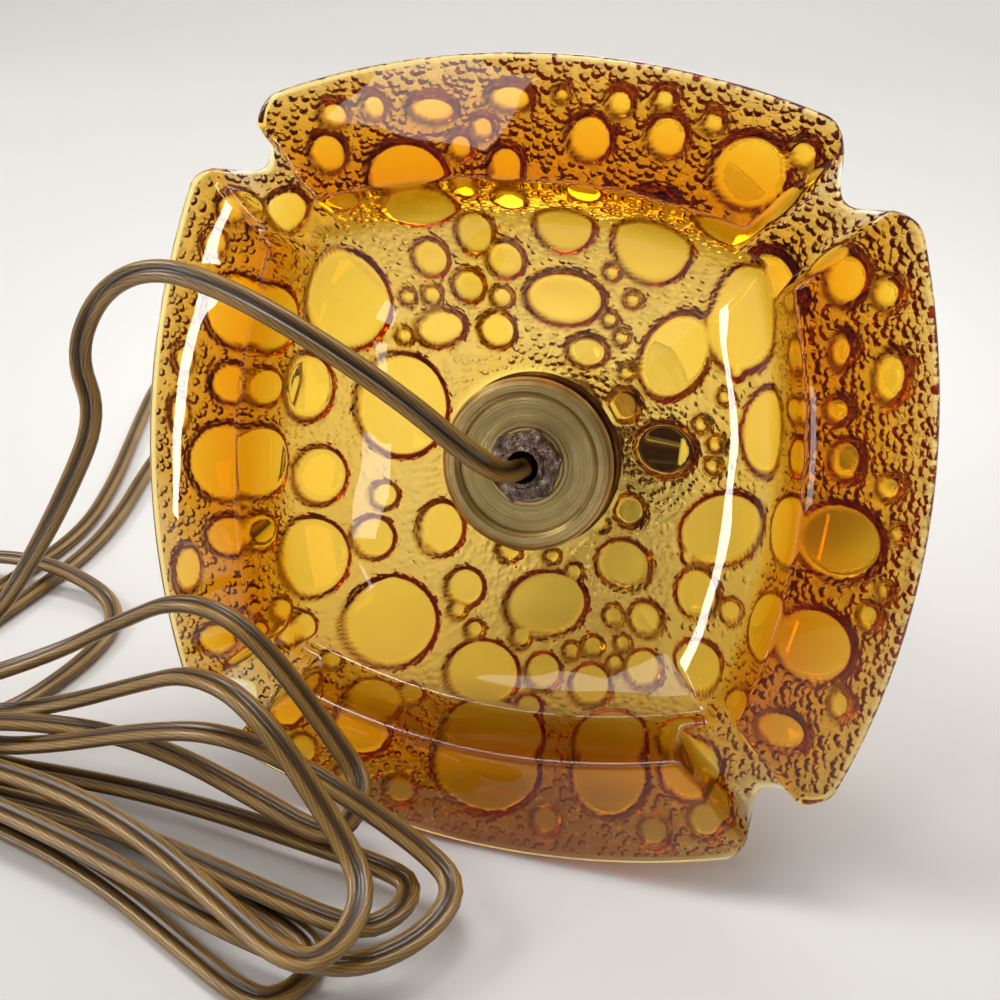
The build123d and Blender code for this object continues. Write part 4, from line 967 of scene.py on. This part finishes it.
class LAMP_OT_stage(bpy.types.Operator):
    """Makes the floor, its sweep behind, and the lights"""

    bl_idname = "accent_lamp.stage"
    bl_label = "Floor and Lights"

    def execute(self, context):
        sizes = context.scene.accent_lamp_stage
        rows = [(-SWEEP_HALF, 0.0), (SWEEP_START, 0.0)]
        for t in np.linspace(0, math.pi / 2, 13)[1:]:
            rows.append((SWEEP_START + SWEEP_RADIUS * math.sin(t), SWEEP_RADIUS - SWEEP_RADIUS * math.cos(t)))
        rows.append((SWEEP_START + SWEEP_RADIUS, SWEEP_TOP))
        places = [(side, y, z) for y, z in rows for side in (-SWEEP_HALF, SWEEP_HALF)]
        mesh = bpy.data.meshes.new("floor_sweep")
        mesh.from_pydata(places, [], [(2 * i, 2 * i + 1, 2 * i + 3, 2 * i + 2) for i in range(len(rows) - 1)])
        for face in mesh.polygons:
            face.use_smooth = True
        floor = bpy.data.objects.new("floor_sweep", mesh)
        context.scene.collection.objects.link(floor)
        mesh.materials.append(pale_floor())
        # name, power in watts, size, place, where it shines, and tint
        for name, power, size, place, aim, tint in (
            ("key_light", sizes.key_power, (0.8, 0.8), (-1.9, -0.3, 1.7), (0.0, -0.05, 0.05), "#FFFDFA"),
            ("strip_light", 1.1, (0.035, 0.6), (-0.82, -0.74, 0.31), (0.0, -0.07, 0.08), "#FFFFFF"),
            ("panel_light", 0.35, (0.14, 0.16), (0.22, -1.08, 0.32), (-0.03, -0.07, 0.09), "#FFFFFF"),
            ("window_light", 0.7, (0.3, 0.25), (-0.45, -0.78, 0.95), (0.0, -0.05, 0.1), "#FFFFFF"),
            ("top_light", 1.2, (0.25, 0.2), (-0.1, 0.1, 1.3), (0.0, 0.0, 0.0), "#FFFFFF"),
            ("back_light", 12.5, (1.6, 0.4), (0.0, 0.25, 1.5), (0.0, 1.3, 0.3), "#FFFFFF"),
            # lights the floor behind the foot, which is what shows through the glass
            ("floor_light", 0.25, (0.18, 0.14), (-0.05, 0.18, 0.22), (-0.05, 0.17, 0.0), "#FFFFFF"),
        ):
            light = bpy.data.lights.new(name, "AREA")
            light.shape, light.energy, light.color = "RECTANGLE", power, linear(tint)[:3]
            light.size, light.size_y = size
            lamp = bpy.data.objects.new(name, light)
            context.scene.collection.objects.link(lamp)
            lamp.location = place
            lamp.visible_camera = False
            lamp.rotation_euler = (Vector(aim) - Vector(place)).to_track_quat("-Z", "Y").to_euler()
        world = bpy.data.worlds.new("studio")
        context.scene.world = world
        world.use_nodes = True
        tree = world.node_tree
        sky = tree.nodes["Background"]
        sky.inputs["Color"].default_value = linear("#FFFEFC")
        # the room is dim in front and bright behind and overhead
        way = node(tree, "ShaderNodeSeparateXYZ", {0: node(tree, "ShaderNodeTexCoord").outputs["Generated"]}).outputs
        back = maths(tree, "MULTIPLY_ADD", way["Z"], 0.5, way["Y"])
        strength = node(
            tree, "ShaderNodeMapRange",
            {"Value": back, "From Min": -0.3, "From Max": 0.5, "To Min": 0.12, "To Max": sizes.sky},
        ).outputs[0]
        tree.links.new(strength, sky.inputs["Strength"])
        context.scene.view_settings.view_transform = "Standard"
        return {"FINISHED"}


class LAMP_PT_panel(bpy.types.Panel):
    """Lists the lamp's pieces and their sizes"""

    bl_idname = "LAMP_PT_panel"
    bl_label = "Accent Lamp"
    bl_space_type = "VIEW_3D"
    bl_region_type = "UI"
    bl_category = "Accent Lamp"

    def draw(self, context):
        for operator in PIECES:
            self.layout.operator(operator.bl_idname)
        scene = context.scene
        for group in (scene.accent_lamp_glass, scene.accent_lamp_cord, scene.accent_lamp_stage):
            box = self.layout.box()
            for name in group.__annotations__:
                box.prop(group, name)


SETTINGS = (GlassSettings, CordSettings, StageSettings)
PIECES = (
    LAMP_OT_camera, LAMP_OT_cord, LAMP_OT_glass_foot, LAMP_OT_washers, LAMP_OT_metal,
    LAMP_OT_holder, LAMP_OT_bulb, LAMP_OT_plug, LAMP_OT_stage,
)


def register():
    """Registers the settings, the operators and the panel."""
    for made in (*SETTINGS, *PIECES, LAMP_PT_panel):
        bpy.utils.register_class(made)
    bpy.types.Scene.accent_lamp_glass = bpy.props.PointerProperty(type=GlassSettings)
    bpy.types.Scene.accent_lamp_cord = bpy.props.PointerProperty(type=CordSettings)
    bpy.types.Scene.accent_lamp_stage = bpy.props.PointerProperty(type=StageSettings)


def unregister():
    """Takes them out again."""
    del bpy.types.Scene.accent_lamp_glass, bpy.types.Scene.accent_lamp_cord, bpy.types.Scene.accent_lamp_stage
    for made in reversed((*SETTINGS, *PIECES, LAMP_PT_panel)):
        bpy.utils.unregister_class(made)


def main():
    """Makes every piece in order."""
    register()
    for operator in PIECES:
        group, name = operator.bl_idname.split(".")
        getattr(getattr(bpy.ops, group), name)()


if __name__ == "__main__":
    main()
